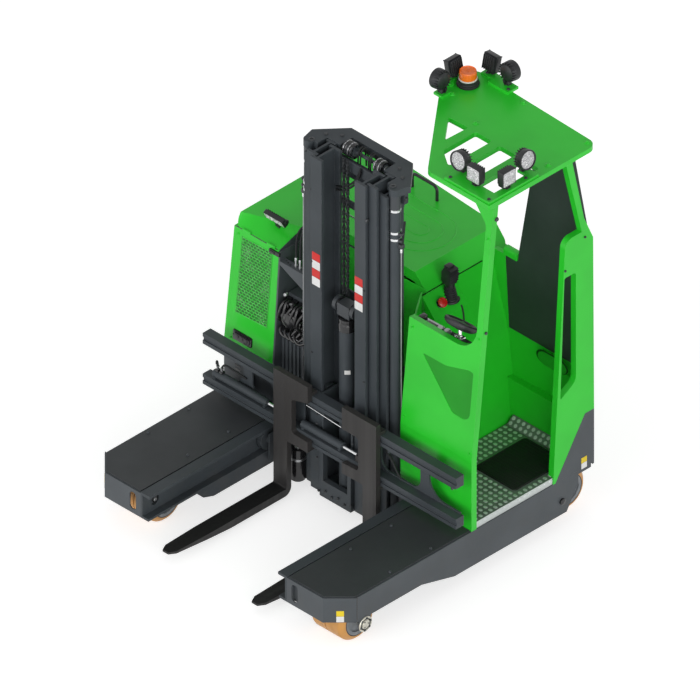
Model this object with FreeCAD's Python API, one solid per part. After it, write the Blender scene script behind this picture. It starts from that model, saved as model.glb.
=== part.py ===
"""Stand-on reach stacker: straddle arms, reach mast, fork carriage, power pack and operator cab.

Millimetres, +Z up, forks towards -Y, operator on the +X side, origin on the floor at the
middle of the machine's outline.
"""
import FreeCAD, Part
import math
import os

V = FreeCAD.Vector

# ---------------------------------------------------------------- driving dimensions
arm_outer = 989.0          # centre line to the outer face of each straddle arm
arm_inner = 575.0          # centre line to the inner face of each arm box
rail_inner = 505.0         # centre line to the tips of the reach rail flanges
arm_front = -1055.0        # front end of the arms
arm_rear = 822.0           # rear end of the arms
arm_chamfer = 132.0        # cut corner at the outer front of each arm
deck_height = 350.0        # top of the arms
skirt_low = 107.0          # lowest edge of the arm skirts
skirt_high = 178.0         # skirt edge over the front wheels
plate = 12.0               # chassis plate
nose_plate = 8.0           # thinner plate round the front wheels
deck_plate = 8.0           # cover plate on each arm

wheel_dia = 270.0
wheel_width = 258.0        # twin rollers together
front_axle_y = -854.0      # right front axle
left_axle_y = -800.0       # left front axle, set further back and inward
rear_axle_y = 860.0
front_wheel_x = 808.0      # centre of the right front pair
left_wheel_x = 750.0       # centre of the left front pair
rear_wheel_x = 750.0       # centre of each rear pair
hub_bore = 40.0            # axle diameter in the wheels

mast_top = 2330.0
outer_top = 2280.0         # the outer rails end under the crown
crown_low = 2288.0
crown_top = 2333.0
sheave_bay = 172.0         # half width of the bay for the chain sheaves
bay_back = 206.0
mast_foot = 72.0
lift_cylinder_dia = 66.0
barrel_gap = 3.0           # between a lift barrel and the outer rail
lift_rod_dia = 40.0
free_cylinder_dia = 94.0
free_cylinder_y = -4.0
free_rod_dia = 55.0

bar_half = 995.0           # half length of the carriage bars
bar_front = -147.0
bar_depth = 62.0
lower_bar = (425.0, 493.0)
upper_bar = (698.0, 770.0)

fork_centre = 350.0        # each fork blade from the centre line
fork_width = 105.0
fork_tip = -1085.0
fork_top = 75.0
fork_thick = 48.0
shank_thick = 36.0
hook_inner = 135.0         # inner end of each hook plate
hook_top = 845.0

pack_left = 989.0          # outer face of the power pack at its foot
pack_top_left = 960.0      # the same at its top
pack_front = 15.0          # foot of the grille panel
pack_front_top = 68.0      # front edge of the lid
pack_rear = 1110.0         # rear face at the left end
pack_rear_right = 1032.0   # rear face beside the cab
pack_low = 655.0           # seam between chassis and painted panels
lid_seam = 1414.0          # lower edge of the lid
lid_top = 1480.0
lid_run_left = 50.0        # how far back the falling front of the lid reaches at its left corner
lid_run_well = 190.0       # the same beside the mast well
lid_right = 134.0          # right edge of the flat of the lid
lid_step = 93.0            # how far the right facet runs out and down
well_left = 610.0          # left wall of the mast well
well_back = 390.0          # back wall of the mast well
tank_top = 873.0           # oil tank beside the mast
well_high = 1250.0         # top of that wall beside the cab
nose_left = 40.0           # left edge of the painted nose above it
skin = 24.0                # whole thickness of a lined panel

cab_left_foot = 430.0      # inner wall of the cab at the floor
cab_left_knee = 360.0      # the same at its bend
knee_height = 910.0
floor_thick = 35.0
cab_foot_y = -18.0
panel_bend = 811.0         # the front panel stands upright below this
cab_lean = 0.104           # and leans back above it, per unit of height
cab_wall = 40.0
cab_rear = 945.0
panel_left = 430.0         # left edge of the front panel
panel_top = 1495.0
pillar_width = 44.0
guard_low = 960.0          # seam between the painted wall and the dark back panel
guard_left = 360.0
shoulder_high = 1448.0     # low shoulder of the back panel
toe_high = 660.0
waist = 703.0              # top of the charcoal rear frame
side_top = 1950.0          # top of the side panel, where the rear pillar starts
console_front = 354.0
console_rear = 603.0
console_edge = (338.0, 1253.0)
roof_top = 2490.0
roof_thick = 32.0
roof_front = 120.0
roof_rear = 1000.0
roof_left = 0.0
beacon_x = 73.0
beacon_y = 870.0
bracket_thick = 16.0       # raised lamp strips on the roof
slide_gap = 0.3            # between flat faces that slide or carry
panel_seam = 2.0           # open seam between painted panels
shaft_gap = 0.05           # radial clearance of a running shaft
run_gap = 6.0              # between parts that must never touch
strap_face = -101.0        # front face of the low cross plate of the carriage
strap_low = 80.0
rod_line_y = bar_front + 30
rod_line_z = lower_bar[1] + 26
spread_rod_r = 11.0
right_lug_x = 205.0        # where each spreading rod meets its fork
left_lug_x = 365.0
lug_long = 25.0

# ---------------------------------------------------------------- dependent sizes
wheel_r = wheel_dia / 2
deck_under = deck_height - deck_plate
bracket_top = roof_top + bracket_thick
roof_under = roof_top - roof_thick
floor_top = deck_height + floor_thick
bar_back = bar_front + bar_depth
lid_right_low = lid_right + lid_step
lid_seam_right = lid_top - lid_step
lid_skirt_x = lid_right_low - 90
fork_inner = fork_centre - fork_width / 2
fork_outer = fork_centre + fork_width / 2
hub_r = hub_bore / 2
hinge_r = 7.0
hinge_z = lid_seam + slide_gap + hinge_r
deck_seat = deck_under + slide_gap
yoke_seat = deck_under - plate - 26


# ---------------------------------------------------------------- shape helpers
def box(x0, x1, y0, y1, z0, z1):
    low = V(min(x0, x1), min(y0, y1), min(z0, z1))
    return Part.makeBox(abs(x1 - x0), abs(y1 - y0), abs(z1 - z0), low)


def rod(axis, at, radius, length):
    return Part.makeCylinder(radius, length, at, axis)


def wire(points, radius=0.0):
    """Closed outline through the points; radius is one value or one for each corner."""
    count = len(points)
    radii = radius if isinstance(radius, (list, tuple)) else [radius] * count
    edges = []
    ends = []
    for i in range(count):
        before, here, after = points[i - 1], points[i], points[(i + 1) % count]
        if radii[i] <= 0:
            ends.append((here, here))
            continue
        to_before = (before - here).normalize()
        to_after = (after - here).normalize()
        half = to_before.getAngle(to_after) / 2
        cut = radii[i] / math.tan(half)
        start = here + to_before * cut
        end = here + to_after * cut
        inward = (to_before + to_after).normalize()
        middle = here + inward * (radii[i] / math.sin(half) - radii[i])
        ends.append((start, end))
        edges.append(Part.Arc(start, middle, end).toShape())
    for i in range(count):
        start = ends[i][1]
        end = ends[(i + 1) % count][0]
        if (end - start).Length > 1e-6:
            edges.append(Part.makeLine(start, end))
    return Part.Wire(Part.__sortEdges__(edges))


def prism(points, along, radius=0.0):
    return Part.Face(wire(points, radius)).extrude(along)


def plan(points, z0, z1, radius=0.0):
    return prism([V(x, y, z0) for x, y in points], V(0, 0, z1 - z0), radius)


def side(points, x0, x1, radius=0.0):
    return prism([V(x0, y, z) for y, z in points], V(x1 - x0, 0, 0), radius)


def front(points, y0, y1, radius=0.0):
    return prism([V(x, y0, z) for x, z in points], V(0, y1 - y0, 0), radius)


def faceted(corners, faces):
    """Solid from flat faces, each a list of corner names."""
    shells = []
    for face in faces:
        loop = [corners[name] for name in face]
        shells.append(Part.Face(Part.makePolygon(loop + loop[:1])))
    solid = Part.Solid(Part.Shell(shells))
    if solid.Volume < 0:
        solid.reverse()
    return solid


def fused(shapes):
    result = shapes[0]
    if len(shapes) > 1:
        result = shapes[0].fuse(shapes[1:])
    return result.removeSplitter()


def mirrored(shape):
    return shape.mirror(V(0, 0, 0), V(1, 0, 0))


def pair(shape):
    return Part.makeCompound([shape, mirrored(shape)])


def ring(axis, at, outer, inner, length):
    return rod(axis, at, outer, length).cut(rod(axis, at, inner, length))


X = V(1, 0, 0)
Y = V(0, 1, 0)
Z = V(0, 0, 1)


# ---------------------------------------------------------------- straddle arms and wheels
def arm_outline(inset=0.0, rear=arm_rear):
    corner = arm_chamfer - inset * (2 - math.sqrt(2))
    return [
        (arm_inner + inset, arm_front + inset),
        (arm_outer - inset - corner, arm_front + inset),
        (arm_outer - inset, arm_front + inset + corner),
        (arm_outer - inset, rear),
        (arm_inner + inset, rear),
    ]


def rear_mount():
    """Plate under the power pack and cab that carries the steered rear wheels."""
    left = rear_wheel_x - 150
    right = arm_outer - plate
    nose = box(left, right, rear_axle_y - 200, arm_rear, yoke_seat, deck_under - plate)
    slab = box(left, right, arm_rear, cab_rear - plate - slide_gap, yoke_seat, deck_under)
    return fused([slab, nose])


def arm(wheel_x, axle_y):
    """Inverted trough with lugs for the front axle and an open arch over the rear wheels."""
    top = deck_under
    shell = plan(arm_outline(), 60.0, top)
    shell = shell.cut(plan(arm_outline(plate, arm_rear + 50), 0.0, top - plate))
    shell = shell.cut(plan(arm_outline(nose_plate, axle_y), 0.0, top - plate))
    below = side(
        [(arm_front - 5, -10), (arm_rear + 5, -10), (arm_rear + 5, 262), (arm_rear - 14, 236),
         (730, skirt_low), (-150, skirt_low), (-410, skirt_high), (arm_front - 5, skirt_high)],
        arm_inner - 5, arm_outer + 5)
    shell = shell.cut(below)
    arch_r = math.hypot(wheel_r, wheel_width / 2) + run_gap + 8
    arch = rod(Z, V(rear_wheel_x, rear_axle_y, 0), arch_r, top - plate)
    inner_strip = box(arm_inner - 5, arm_inner + plate + 5, 500, arm_rear + 60, 0, top - plate)
    shell = shell.cut(arch.common(inner_strip))
    lug_half = 46.0
    outer_lug = box(arm_outer - plate, arm_outer, axle_y - lug_half, axle_y + lug_half,
                    wheel_r, skirt_high + 20)
    outer_lug = outer_lug.fuse(rod(X, V(arm_outer - plate, axle_y, wheel_r), lug_half, plate))
    inner_x = wheel_x - wheel_width / 2 - run_gap - plate
    inner_lug = box(inner_x, inner_x + plate, axle_y - lug_half, axle_y + lug_half,
                    wheel_r, top - plate)
    inner_lug = inner_lug.fuse(rod(X, V(inner_x, axle_y, wheel_r), lug_half, plate))
    shell = fused([shell, outer_lug, inner_lug, rear_mount()])
    bore = rod(X, V(inner_x - 5, axle_y, wheel_r), hub_r, arm_outer - inner_x + 10)
    slot = front([(arm_inner + 36, 205), (arm_inner + 86, 205), (arm_inner + 86, 320),
                  (arm_inner + 36, 320)], arm_front - 5, arm_front + nose_plate + 5, 24)
    return shell.cut(bore).cut(slot)


def reach_rail(stop):
    """Channel open towards the mast, with a deeper skirt behind the front stretch.

    The top flange is cut away behind stop, under the panels that stand there."""
    web = 15.0
    tip = rail_inner
    base = arm_inner
    rear = 200.0
    profile = [(tip, deck_under + deck_plate), (base, deck_under + deck_plate),
               (base, skirt_high), (tip + 8, skirt_high), (tip + 8, skirt_high + 15),
               (base - web, skirt_high + 15), (base - web, deck_height - 17), (tip, deck_height - 17)]
    rail = front(profile, arm_front, rear)
    keel = side([(-674, skirt_high), (-623, 127), (-540, 98), (rear, 98), (rear, skirt_high + 2)],
                tip + 8, tip + 20)
    hole = side([(-985, 225), (-925, 225), (-925, 290), (-985, 290)], base - web - 5, base + 5, 28)
    rebate = box(0, arm_outer, stop, rear + 5, deck_under, deck_height + 5)
    return fused([rail, keel]).cut(hole).cut(rebate)


def arm_deck(stop):
    return plan(arm_outline(10.0, stop), deck_under, deck_height)


def wheel(centre_x, centre_y):
    """Pair of cushion rollers on one dished hub, with a seam between them."""
    half = wheel_width / 2
    r = wheel_r
    shoulder = 26.0
    rim = r - 62
    bore = hub_r + shaft_gap
    profile = [(-half + 12, bore), (-half + 12, rim), (-half, rim), (-half, r - shoulder),
               (-half + shoulder, r), (-3, r), (-3, r - 8), (3, r - 8), (3, r),
               (half - shoulder, r), (half, r - shoulder), (half, rim), (half - 12, rim),
               (half - 12, bore)]
    bends = [0, 0, 0, 22, 22, 0, 0, 0, 0, 22, 22, 0, 0, 0]
    face = Part.Face(wire([V(x, 0, z) for x, z in profile], bends))
    solid = face.revolve(V(0, 0, 0), X, 360)
    solid.translate(V(centre_x, centre_y, r))
    return solid


def front_axle(wheel_x, axle_y):
    start = wheel_x - wheel_width / 2 - run_gap - plate
    pin = rod(X, V(start, axle_y, wheel_r), hub_r, arm_outer - start)
    cap = rod(X, V(arm_outer, axle_y, wheel_r), 38, 6)
    return fused([pin, cap])


def steer_yoke():
    """Fork over a rear wheel pair, turning on the pin above it."""
    half = wheel_width / 2 + run_gap
    crown_low = wheel_dia + 8
    crown_top = yoke_seat - slide_gap
    cheek = side([(-44, crown_low), (44, crown_low), (30, wheel_r), (-30, wheel_r)], half, half + 10)
    cheek = cheek.fuse(rod(X, V(half, 0, wheel_r), 30, 10))
    crown = rod(Z, V(0, 0, crown_low), half + 10, crown_top - crown_low)
    crown = crown.common(box(-half - 10, half + 10, -70, 70, 0, 400))
    pin = rod(X, V(-half - 10, 0, wheel_r), hub_r, 2 * half + 20)
    yoke = fused([cheek, mirrored(cheek), crown, pin])
    yoke.translate(V(rear_wheel_x, rear_axle_y, 0))
    return yoke


# ---------------------------------------------------------------- chassis between the arms
def chassis_frame():
    """Open box of plates behind the mast that joins the two arms."""
    left = -arm_inner
    right = arm_inner
    y0 = 230.0
    y1 = cab_rear - 60
    low = 112.0
    top = deck_under
    floor = box(left, right, y0, y1, low, low + plate)
    roof = box(left, right, y0, y1, top - plate, top)
    cross = [box(left, right, y, y + plate, low, top) for y in (y0, 520.0, y1 - plate)]
    body = fused([floor, roof] + cross)
    arch_r = math.hypot(wheel_r, wheel_width / 2) + run_gap + 8
    for x in (-rear_wheel_x, rear_wheel_x):
        body = body.cut(rod(Z, V(x, rear_axle_y, 0), arch_r, top - plate - 1))
    return body


def rear_frame():
    """Rear end plates, with the cut corner that shows below the cab's side panel."""
    side_plate = side([(641 + panel_seam, deck_seat), (873 + panel_seam, waist), (cab_rear, waist),
                       (cab_rear, 330), (cab_rear - plate, 330), (cab_rear - plate, deck_seat)],
                      arm_outer - cab_wall, arm_outer)
    back = front([(cab_left_foot + slide_gap, 330), (left_of(waist), waist), (arm_outer, waist),
                  (arm_outer, 330)], cab_rear - plate, cab_rear)
    back = back.cut(cab_inner_wall())
    return fused([side_plate, back])


def counterweight():
    """Cast block behind the axle, under the lid."""
    return plan([(-560, cab_rear - 59), (200, cab_rear - 59), (200, 1010), (-560, 1060)],
                150, 640, 20)


def power_base():
    """Charcoal foot of the power pack: outer side, front and rear plates."""
    z0 = deck_seat
    z1 = pack_low
    outer = box(-pack_left, -pack_left + plate, pack_front, pack_rear, z0, z1)
    face = box(-pack_left, -well_left, pack_front, pack_front + plate, z0, z1)
    back = rear_strip(plate).common(front([(-pack_left, 330), (inner_wall_x(z0), 330),
                                           (inner_wall_x(z0), z0), (inner_wall_x(z1), z1),
                                           (-pack_left, z1)], 900, 1200))
    low_plate = plan([(-pack_left, arm_rear), (-560, arm_rear), (-560, 1076), (-pack_left, 1100)],
                     deck_seat, deck_seat + plate)
    body = fused([outer, face, back, low_plate])
    for z in (560.0, 590.0, 620.0):
        body = body.cut(front([(-930, z), (-820, z), (-820, z + 14), (-930, z + 14)],
                              pack_front - 5, pack_front + plate + 5, 6.9))
    slot = front([(-775, 390), (-610, 390), (-610, 530), (-775, 530)],
                 pack_front - 5, pack_front + plate + 5, 24)
    return body.cut(slot)


def inner_wall_x(z):
    """Cab side face of the leaning, bent wall at a height."""
    if z < knee_height:
        share = (z - deck_height) / (knee_height - deck_height)
        return cab_left_foot + share * (cab_left_knee - cab_left_foot)
    share = (z - knee_height) / (lid_seam_right - knee_height)
    return cab_left_knee + share * (lid_right_low - cab_left_knee)


def rear_strip(thick):
    """Slanted rear wall line of the power pack, full height."""
    ends = [-pack_left, cab_left_foot]
    outer = [(x, rear_y(x)) for x in ends]
    inner = [(x, rear_y(x) - thick) for x in reversed(ends)]
    return plan(outer + inner, 0, 2000)


def mast_well():
    """Left and back walls of the bay that the mast stands in."""
    high = lid_seam - run_gap
    wall = side([(pack_front, deck_seat), (pack_front, pack_low), (slant_y(high), high),
                 (well_back + plate, high), (well_back + plate, deck_seat)],
                -well_left, -well_left + plate)
    edge = [(inner_wall_x(z) - skin - slide_gap, z) for z in (deck_seat, knee_height, well_high)]
    back = front([(-well_left, deck_seat)] + edge
                 + [(nose_left - slide_gap, well_high), (nose_left - slide_gap, high),
                    (-well_left, high)], well_back, well_back + plate)
    return fused([wall, back, hose_bracket()])


def power_unit():
    """Engine and pump set as one plain block."""
    return box(-930, -620, 130, arm_rear - 7, deck_seat, 1180)


def hydraulic_tank():
    """Oil tank with upright flutes in front, and the valves on top of it."""
    left = -well_left + plate
    right = -lift_cylinder_x - 60
    body = box(left, right, 78, well_back - 40, deck_height, tank_top)
    flutes = []
    for i in range(6):
        x = left + 10 + 30.0 * i
        flutes.append(box(x, x + 16, 68, 78, deck_height + 20, tank_top - 14))
    return fused([body, valve_block()] + flutes)


def valve_block():
    base = box(-well_left + plate + 12, -lift_cylinder_x - 80, 120, well_back - 60, tank_top, 1120)
    spools = []
    for i in range(4):
        spools.append(rod(-Y, V(-well_left + 44 + 30 * i, 120, 1000), 11, 40))
    return fused([base] + spools)


def hose_bracket():
    """Shelf with its web on the well wall that guides the mast hoses."""
    left = -well_left + plate
    right = -lift_cylinder_x - 50
    shelf = box(left, right, 60, 106, 1345, 1353)
    web = front([(left, 1345), (left, 1330), (right, 1232), (right, 1345)], 60, 66)
    bracket = fused([shelf, web])
    for i in range(3):
        bracket = bracket.cut(rod(Z, V(left + 24 + 22 * i, 92 - 7 * i, 1340), 7, 30))
    return bracket


# ---------------------------------------------------------------- power pack panels
def slant_x(z):
    share = (z - pack_low) / (lid_seam - pack_low)
    return -pack_left + share * (pack_left - pack_top_left)


def slant_y(z):
    share = (z - pack_low) / (lid_seam - pack_low)
    return pack_front + share * (pack_front_top - pack_front)


def rear_y(x):
    share = (x + pack_top_left) / (lid_right_low + pack_top_left)
    return pack_rear + share * (pack_rear_right - pack_rear)


def side_cover():
    """Painted left side, leaning in towards the lid."""
    low = pack_low + slide_gap
    top = lid_seam - slide_gap
    rear = pack_rear - skin - 2
    outer_low = -pack_left
    outer_top = slant_x(top)
    c = {
        "a": V(outer_low, pack_front, low), "b": V(outer_low, rear, low),
        "c": V(outer_top, rear, top), "d": V(outer_top, slant_y(top), top),
        "e": V(outer_low + skin, pack_front, low), "f": V(outer_low + skin, rear, low),
        "g": V(outer_top + skin, rear, top), "h": V(outer_top + skin, slant_y(top), top),
    }
    cover = faceted(c, ["abcd", "ehgf", "adhe", "bfgc", "aefb", "dcgh"])
    return cover.cut(rear_cover())


def grille_panel():
    """Front service panel with its ventilated field left as a recess through the skin."""
    low = pack_low + slide_gap
    top = lid_seam - slide_gap
    left_low = -pack_left + skin + slide_gap
    left_top = slant_x(top) + skin + slide_gap
    inner = -well_left - slide_gap
    y_low = pack_front
    y_top = slant_y(top)
    c = {
        "a": V(left_low, y_low, low), "b": V(inner, y_low, low),
        "c": V(inner, y_top, top), "d": V(left_top, y_top, top),
        "e": V(left_low, y_low + skin, low), "f": V(inner, y_low + skin, low),
        "g": V(inner, y_top + skin, top), "h": V(left_top, y_top + skin, top),
    }
    panel = faceted(c, ["abcd", "ehgf", "adhe", "bfgc", "aefb", "dcgh"])
    field = front([(-905, 860), (-655, 875), (-650, 1335), (-895, 1345)], -50, 200, 12)
    mesh_sheet = panel.common(field)
    thin = mesh_sheet.cut(panel.translated(V(0, 5, 0)))
    opened = panel.cut(field)
    lamp_pocket = front([(-921, 690), (-772, 690), (-772, 757), (-921, 757)], -50,
                        pack_front + skin - 6, 10)
    return fused([opened.cut(lamp_pocket), thin])


def rear_cover():
    """Painted rear face of the power pack."""
    low = pack_low + slide_gap
    top = lid_seam - slide_gap
    right_top = lid_seam_right - slide_gap
    outline = [(-pack_left, low), (inner_wall_x(low), low), (inner_wall_x(knee_height), knee_height),
               (lid_right_low, right_top), (lid_skirt_x, right_top), (lid_skirt_x, top),
               (slant_x(top), top)]
    return rear_strip(skin).common(front(outline, 900, 1200))


def cab_inner_wall():
    """Leaning wall between the cab and the power pack, closed off at the mast well."""
    y0 = well_back
    y1 = rear_y(cab_left_foot) - skin - slide_gap
    top = lid_seam_right - slide_gap
    heights = [deck_seat, knee_height, top]
    face = [(inner_wall_x(z), z) for z in heights]
    back = [(inner_wall_x(z) - skin, z) for z in reversed(heights)]
    lean = front(face + back, y0, y1)
    low = well_high + slide_gap
    nose = front([(inner_wall_x(low) - skin, low), (lid_right_low - skin, top), (nose_left, top),
                  (nose_left, low)], y0, y0 + plate)
    return fused([lean, nose])


def lid_front(lower):
    """Block over the falling front of the lid, steep at the left corner and gentle at the well."""
    foot = lid_seam + slide_gap + 2 - lower
    high = lid_top - lower
    profiles = []
    for x, run in ((-pack_top_left - 1, lid_run_left), (-well_left + 1, lid_run_well)):
        y = pack_front_top
        points = [V(x, y - 80, foot), V(x, y, foot), V(x, y + run, high), V(x, y + run, high + 60),
                  V(x, y - 80, high + 60)]
        profiles.append(Part.makePolygon(points + points[:1]))
    return Part.makeLoft(profiles, True, True)


def lid():
    """Hinged engine lid: flat top, falling front, facet on the cab side."""
    seam = lid_seam + slide_gap
    top = lid_top
    fy = pack_front_top
    body = plan([(-pack_top_left, fy), (-well_left, fy), (-well_left, well_back),
                 (lid_right_low, well_back), (lid_right_low, rear_y(lid_right_low)),
                 (-pack_top_left, rear_y(-pack_top_left))], lid_seam_right, top,
                [48, 0, 0, 0, 40, 60])
    facet = front([(lid_right, top), (lid_right_low, lid_seam_right),
                   (lid_right_low + 90, lid_seam_right), (lid_right_low + 90, top + 40),
                   (lid_right, top + 40)], -100, 1300)
    low_cut = box(-pack_left - 10, lid_skirt_x + slide_gap, 0, 1300, lid_seam_right - 5, seam)
    body = body.cut(lid_front(0)).cut(facet).cut(low_cut)
    hollow = plan([(-pack_top_left + skin, fy + skin), (-well_left - skin, fy + skin),
                   (-well_left - skin, well_back + skin), (lid_right_low, well_back + skin),
                   (lid_right_low, rear_y(lid_right_low) - skin),
                   (-pack_top_left + skin, rear_y(-pack_top_left) - skin)],
                  lid_seam_right - 5, top - skin)
    hollow = hollow.cut(lid_front(skin))
    hollow = hollow.cut(facet.translated(V(-skin * math.sqrt(2), 0, 0)))
    knuckles = [rod(X, V(x, fy, hinge_z), hinge_r, 60) for x in (-890, -700)]
    return fused([body.cut(hollow)] + knuckles)


def lid_handle():
    """Bow handle that stands on the lid near its rear edge."""
    x0 = -457.0
    x1 = -263.0
    y = 963.0
    z = lid_top
    high = 95.0
    r = 9.0
    bend = 32.0
    points = [V(x0, y, z), V(x0, y, z + high), V(x1, y, z + high), V(x1, y, z)]
    path = []
    path.append(Part.makeLine(points[0], V(x0, y, z + high - bend)))
    k = bend * (1 - math.sqrt(0.5))
    path.append(Part.Arc(V(x0, y, z + high - bend), V(x0 + k, y, z + high - k),
                         V(x0 + bend, y, z + high)).toShape())
    path.append(Part.makeLine(V(x0 + bend, y, z + high), V(x1 - bend, y, z + high)))
    path.append(Part.Arc(V(x1 - bend, y, z + high), V(x1 - k, y, z + high - k),
                         V(x1, y, z + high - bend)).toShape())
    path.append(Part.makeLine(V(x1, y, z + high - bend), points[3]))
    section = Part.Wire(Part.makeCircle(r, points[0], Z))
    return Part.Wire(path).makePipeShell([section], True, False)


def lid_lamp():
    """Work lamp on the falling front of the lid."""
    body = side([(126, 1508), (160, 1502), (174, 1570), (140, 1576)], -796, -640)
    foot = box(-676, -646, 148, 164, 1430, 1506)
    return fused([body, foot]).cut(lid())


# ---------------------------------------------------------------- operator cab
def leaned(shape):
    angle = math.degrees(math.atan(cab_lean))
    return shape.rotated(V(0, cab_foot_y, panel_bend), V(1, 0, 0), -angle)


def panel_y(z):
    """Front face of the front panel at a height."""
    return cab_foot_y + cab_lean * max(z - panel_bend, 0)


def slope_z(z):
    """Height along the leaning sheet that ends up at a height above the floor."""
    return panel_bend + (z - panel_bend) * math.hypot(1, cab_lean)


def cab_floor():
    """Treadplate floor with its sill at the doorway."""
    left = inner_wall_x(deck_seat) + slide_gap
    right = arm_outer - cab_wall - slide_gap
    sill = arm_outer - 6
    y0 = cab_foot_y + cab_wall + 3
    y1 = cab_rear - cab_wall - slide_gap
    return plan([(left, y0), (sill, y0), (sill, 623), (right, 623), (right, y1), (left, y1)],
                deck_seat, floor_top)


def floor_mat():
    return plan([(606, 385), (925, 385), (925, 788), (606, 788)], floor_top, floor_top + 8, 24)


def front_panel():
    """Front sheet with its window: upright foot, leaning top, pillar and gusset up to the roof."""
    right = arm_outer
    inner = right - pillar_width
    outline = [(panel_left, panel_bend), (right, panel_bend), (right, roof_under + 60),
               (inner - 120, roof_under + 60), (inner - 120, roof_under), (inner, roof_under - 128),
               (inner, panel_top), (panel_left, panel_top)]
    outline = [(x, slope_z(z)) for x, z in outline]
    sheet = front(outline, cab_foot_y, cab_foot_y + cab_wall, [0, 0, 0, 0, 0, 60, 150, 0])
    window = [(551, 1318), (735, 1320), (905, 1371), (inner, 1371), (inner, 1052), (812, 1052)]
    window = front([(x, slope_z(z)) for x, z in window], cab_foot_y - 5, cab_foot_y + cab_wall + 5,
                   [6, 150, 50, 14, 55, 40])
    sheet = leaned(sheet.cut(window))
    foot = box(panel_left, right, cab_foot_y, cab_foot_y + cab_wall, deck_seat, panel_bend)
    whole = fused([foot, sheet])
    return whole.common(box(0, right + 50, cab_foot_y - 50, 400, deck_seat, roof_under - slide_gap))


def side_panel():
    """Rear side of the cab with its tall slot."""
    outline = [(624, deck_seat), (720, side_top), (904, side_top), (938, 1872),
               (cab_rear, waist + slide_gap), (873, waist + slide_gap), (641, deck_seat)]
    sheet = side(outline, arm_outer - cab_wall, arm_outer, [0, 60, 0, 0, 0, 0, 0])
    slot = side([(680, 890), (803, 960), (803, 1700), (712, 1700)], arm_outer - cab_wall - 5,
                arm_outer + 5, [4, 60, 22, 12])
    return sheet.cut(slot)


def rear_pillar():
    """Bent strip from the side panel up to the roof."""
    outline = [(727, roof_under), (775, roof_under), (866, 2037), (904, side_top), (849, side_top)]
    return side(outline, arm_outer - cab_wall, arm_outer)


def rear_wall():
    """Green lower back of the cab with the deeper toe box and the corner at the power pack."""
    y0 = cab_rear - cab_wall
    y1 = cab_rear - plate - slide_gap
    right = arm_outer - cab_wall - slide_gap
    low = deck_seat
    wall = front([(left_of(low), low), (right, low), (right, guard_low), (left_of(guard_low), guard_low),
                  (left_of(knee_height), knee_height)], y0, y1)
    toe_low = floor_top + slide_gap
    toe = front([(left_of(toe_low), toe_low), (right, toe_low), (right, toe_high),
                 (left_of(toe_high), toe_high)], y0 - 45, y0)
    corner_top = lid_seam_right - slide_gap
    corner = front([(left_of(guard_low), guard_low), (guard_left, guard_low), (guard_left - 28, 1440),
                    (left_of(corner_top) + 14, 1440), (left_of(corner_top), corner_top)], y0, y1)
    pocket = front([(612, 860), (right - 95, 860), (right - 95, guard_low - 8), (612, guard_low - 8)],
                   y0 - 1, y0 + 16, 40)
    return fused([wall, toe, corner]).cut(pocket)


def left_of(z):
    """Left edge of anything that closes onto the leaning wall."""
    return inner_wall_x(z) + slide_gap


def rear_guard():
    """Dark back panel from seat height up to the roof, with a rounded cap on its low shoulder."""
    y0 = cab_rear - cab_wall
    right = arm_outer - cab_wall - slide_gap
    outline = [(guard_left + 1, guard_low + slide_gap), (right, guard_low + slide_gap),
               (right, side_top), (828, roof_under - slide_gap), (597, roof_under - slide_gap), (516, 1960),
               (441, 1530), (431, shoulder_high), (guard_left - 27, shoulder_high)]
    return front(outline, y0, cab_rear - 16)


def shoulder_cap():
    """Painted rounded strip over the low shoulder of the back panel."""
    y0 = cab_rear - cab_wall - 12
    cap = side([(y0, shoulder_high + slide_gap), (cab_rear, shoulder_high + slide_gap),
                (cab_rear, shoulder_high + 46), (y0, shoulder_high + 46)],
               guard_left - 34, 430, [0, 0, 20, 20])
    return cap


def roof():
    """Roof plate with the slots over the operator."""
    outline = [(arm_outer, roof_front), (arm_outer, roof_rear - 32), (roof_left, roof_rear),
               (roof_left, 721), (505, roof_front)]
    plate_body = plan(outline, roof_under, roof_top, [10, 60, 50, 80, 60])
    cuts = [
        [(223, 566), (372, 572), (364, 398)],
        [(430, 318), (558, 232), (558, 573), (430, 573)],
        [(620, 210), (744, 210), (744, 573), (620, 573)],
        [(800, 210), (930, 210), (930, 573), (800, 573)],
    ]
    for cut, bend in zip(cuts, (5, 14, 14, 14)):
        plate_body = plate_body.cut(plan(cut, roof_under - 5, roof_top + 5, bend))
    return fused([plate_body, lamp_bracket_front(), lamp_bracket_rear()])


def lamp_bracket_front():
    """Raised strip round the front corner, with tabs under the round lamps."""
    return plan([(630, 128), (981, 128), (981, 520), (868, 520), (868, 462), (934, 462), (934, 214),
                 (700, 214), (700, 258), (630, 258)], roof_top, bracket_top)


def lamp_bracket_rear():
    """Tab and strips along the left and rear edges, clear of the beacon."""
    tab = plan([(8, 664), (76, 664), (76, 730), (8, 730)], roof_top, bracket_top)
    left = plan([(-40, 780), (30, 780), (30, 800), (4, 812), (4, 910), (-40, 910)],
                roof_top, bracket_top)
    back = plan([(60, 985), (150, 985), (150, 950), (306, 950), (306, 1034), (60, 1040)],
                roof_top, bracket_top)
    return Part.makeCompound([tab, left, back])


def square_lamp():
    """Square flood lamp over its own foot, lens towards -Y."""
    foot = box(-14, 14, -8, 8, bracket_top, bracket_top + 24)
    body = box(-54, 54, -24, 24, bracket_top + 16, bracket_top + 128)
    return fused([foot, body])


def round_lamp():
    foot = box(-14, 14, -8, 8, bracket_top, bracket_top + 40)
    body = Part.makeCone(64, 48, 60, V(0, -30, bracket_top + 84), Y)
    return fused([foot, body])


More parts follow.
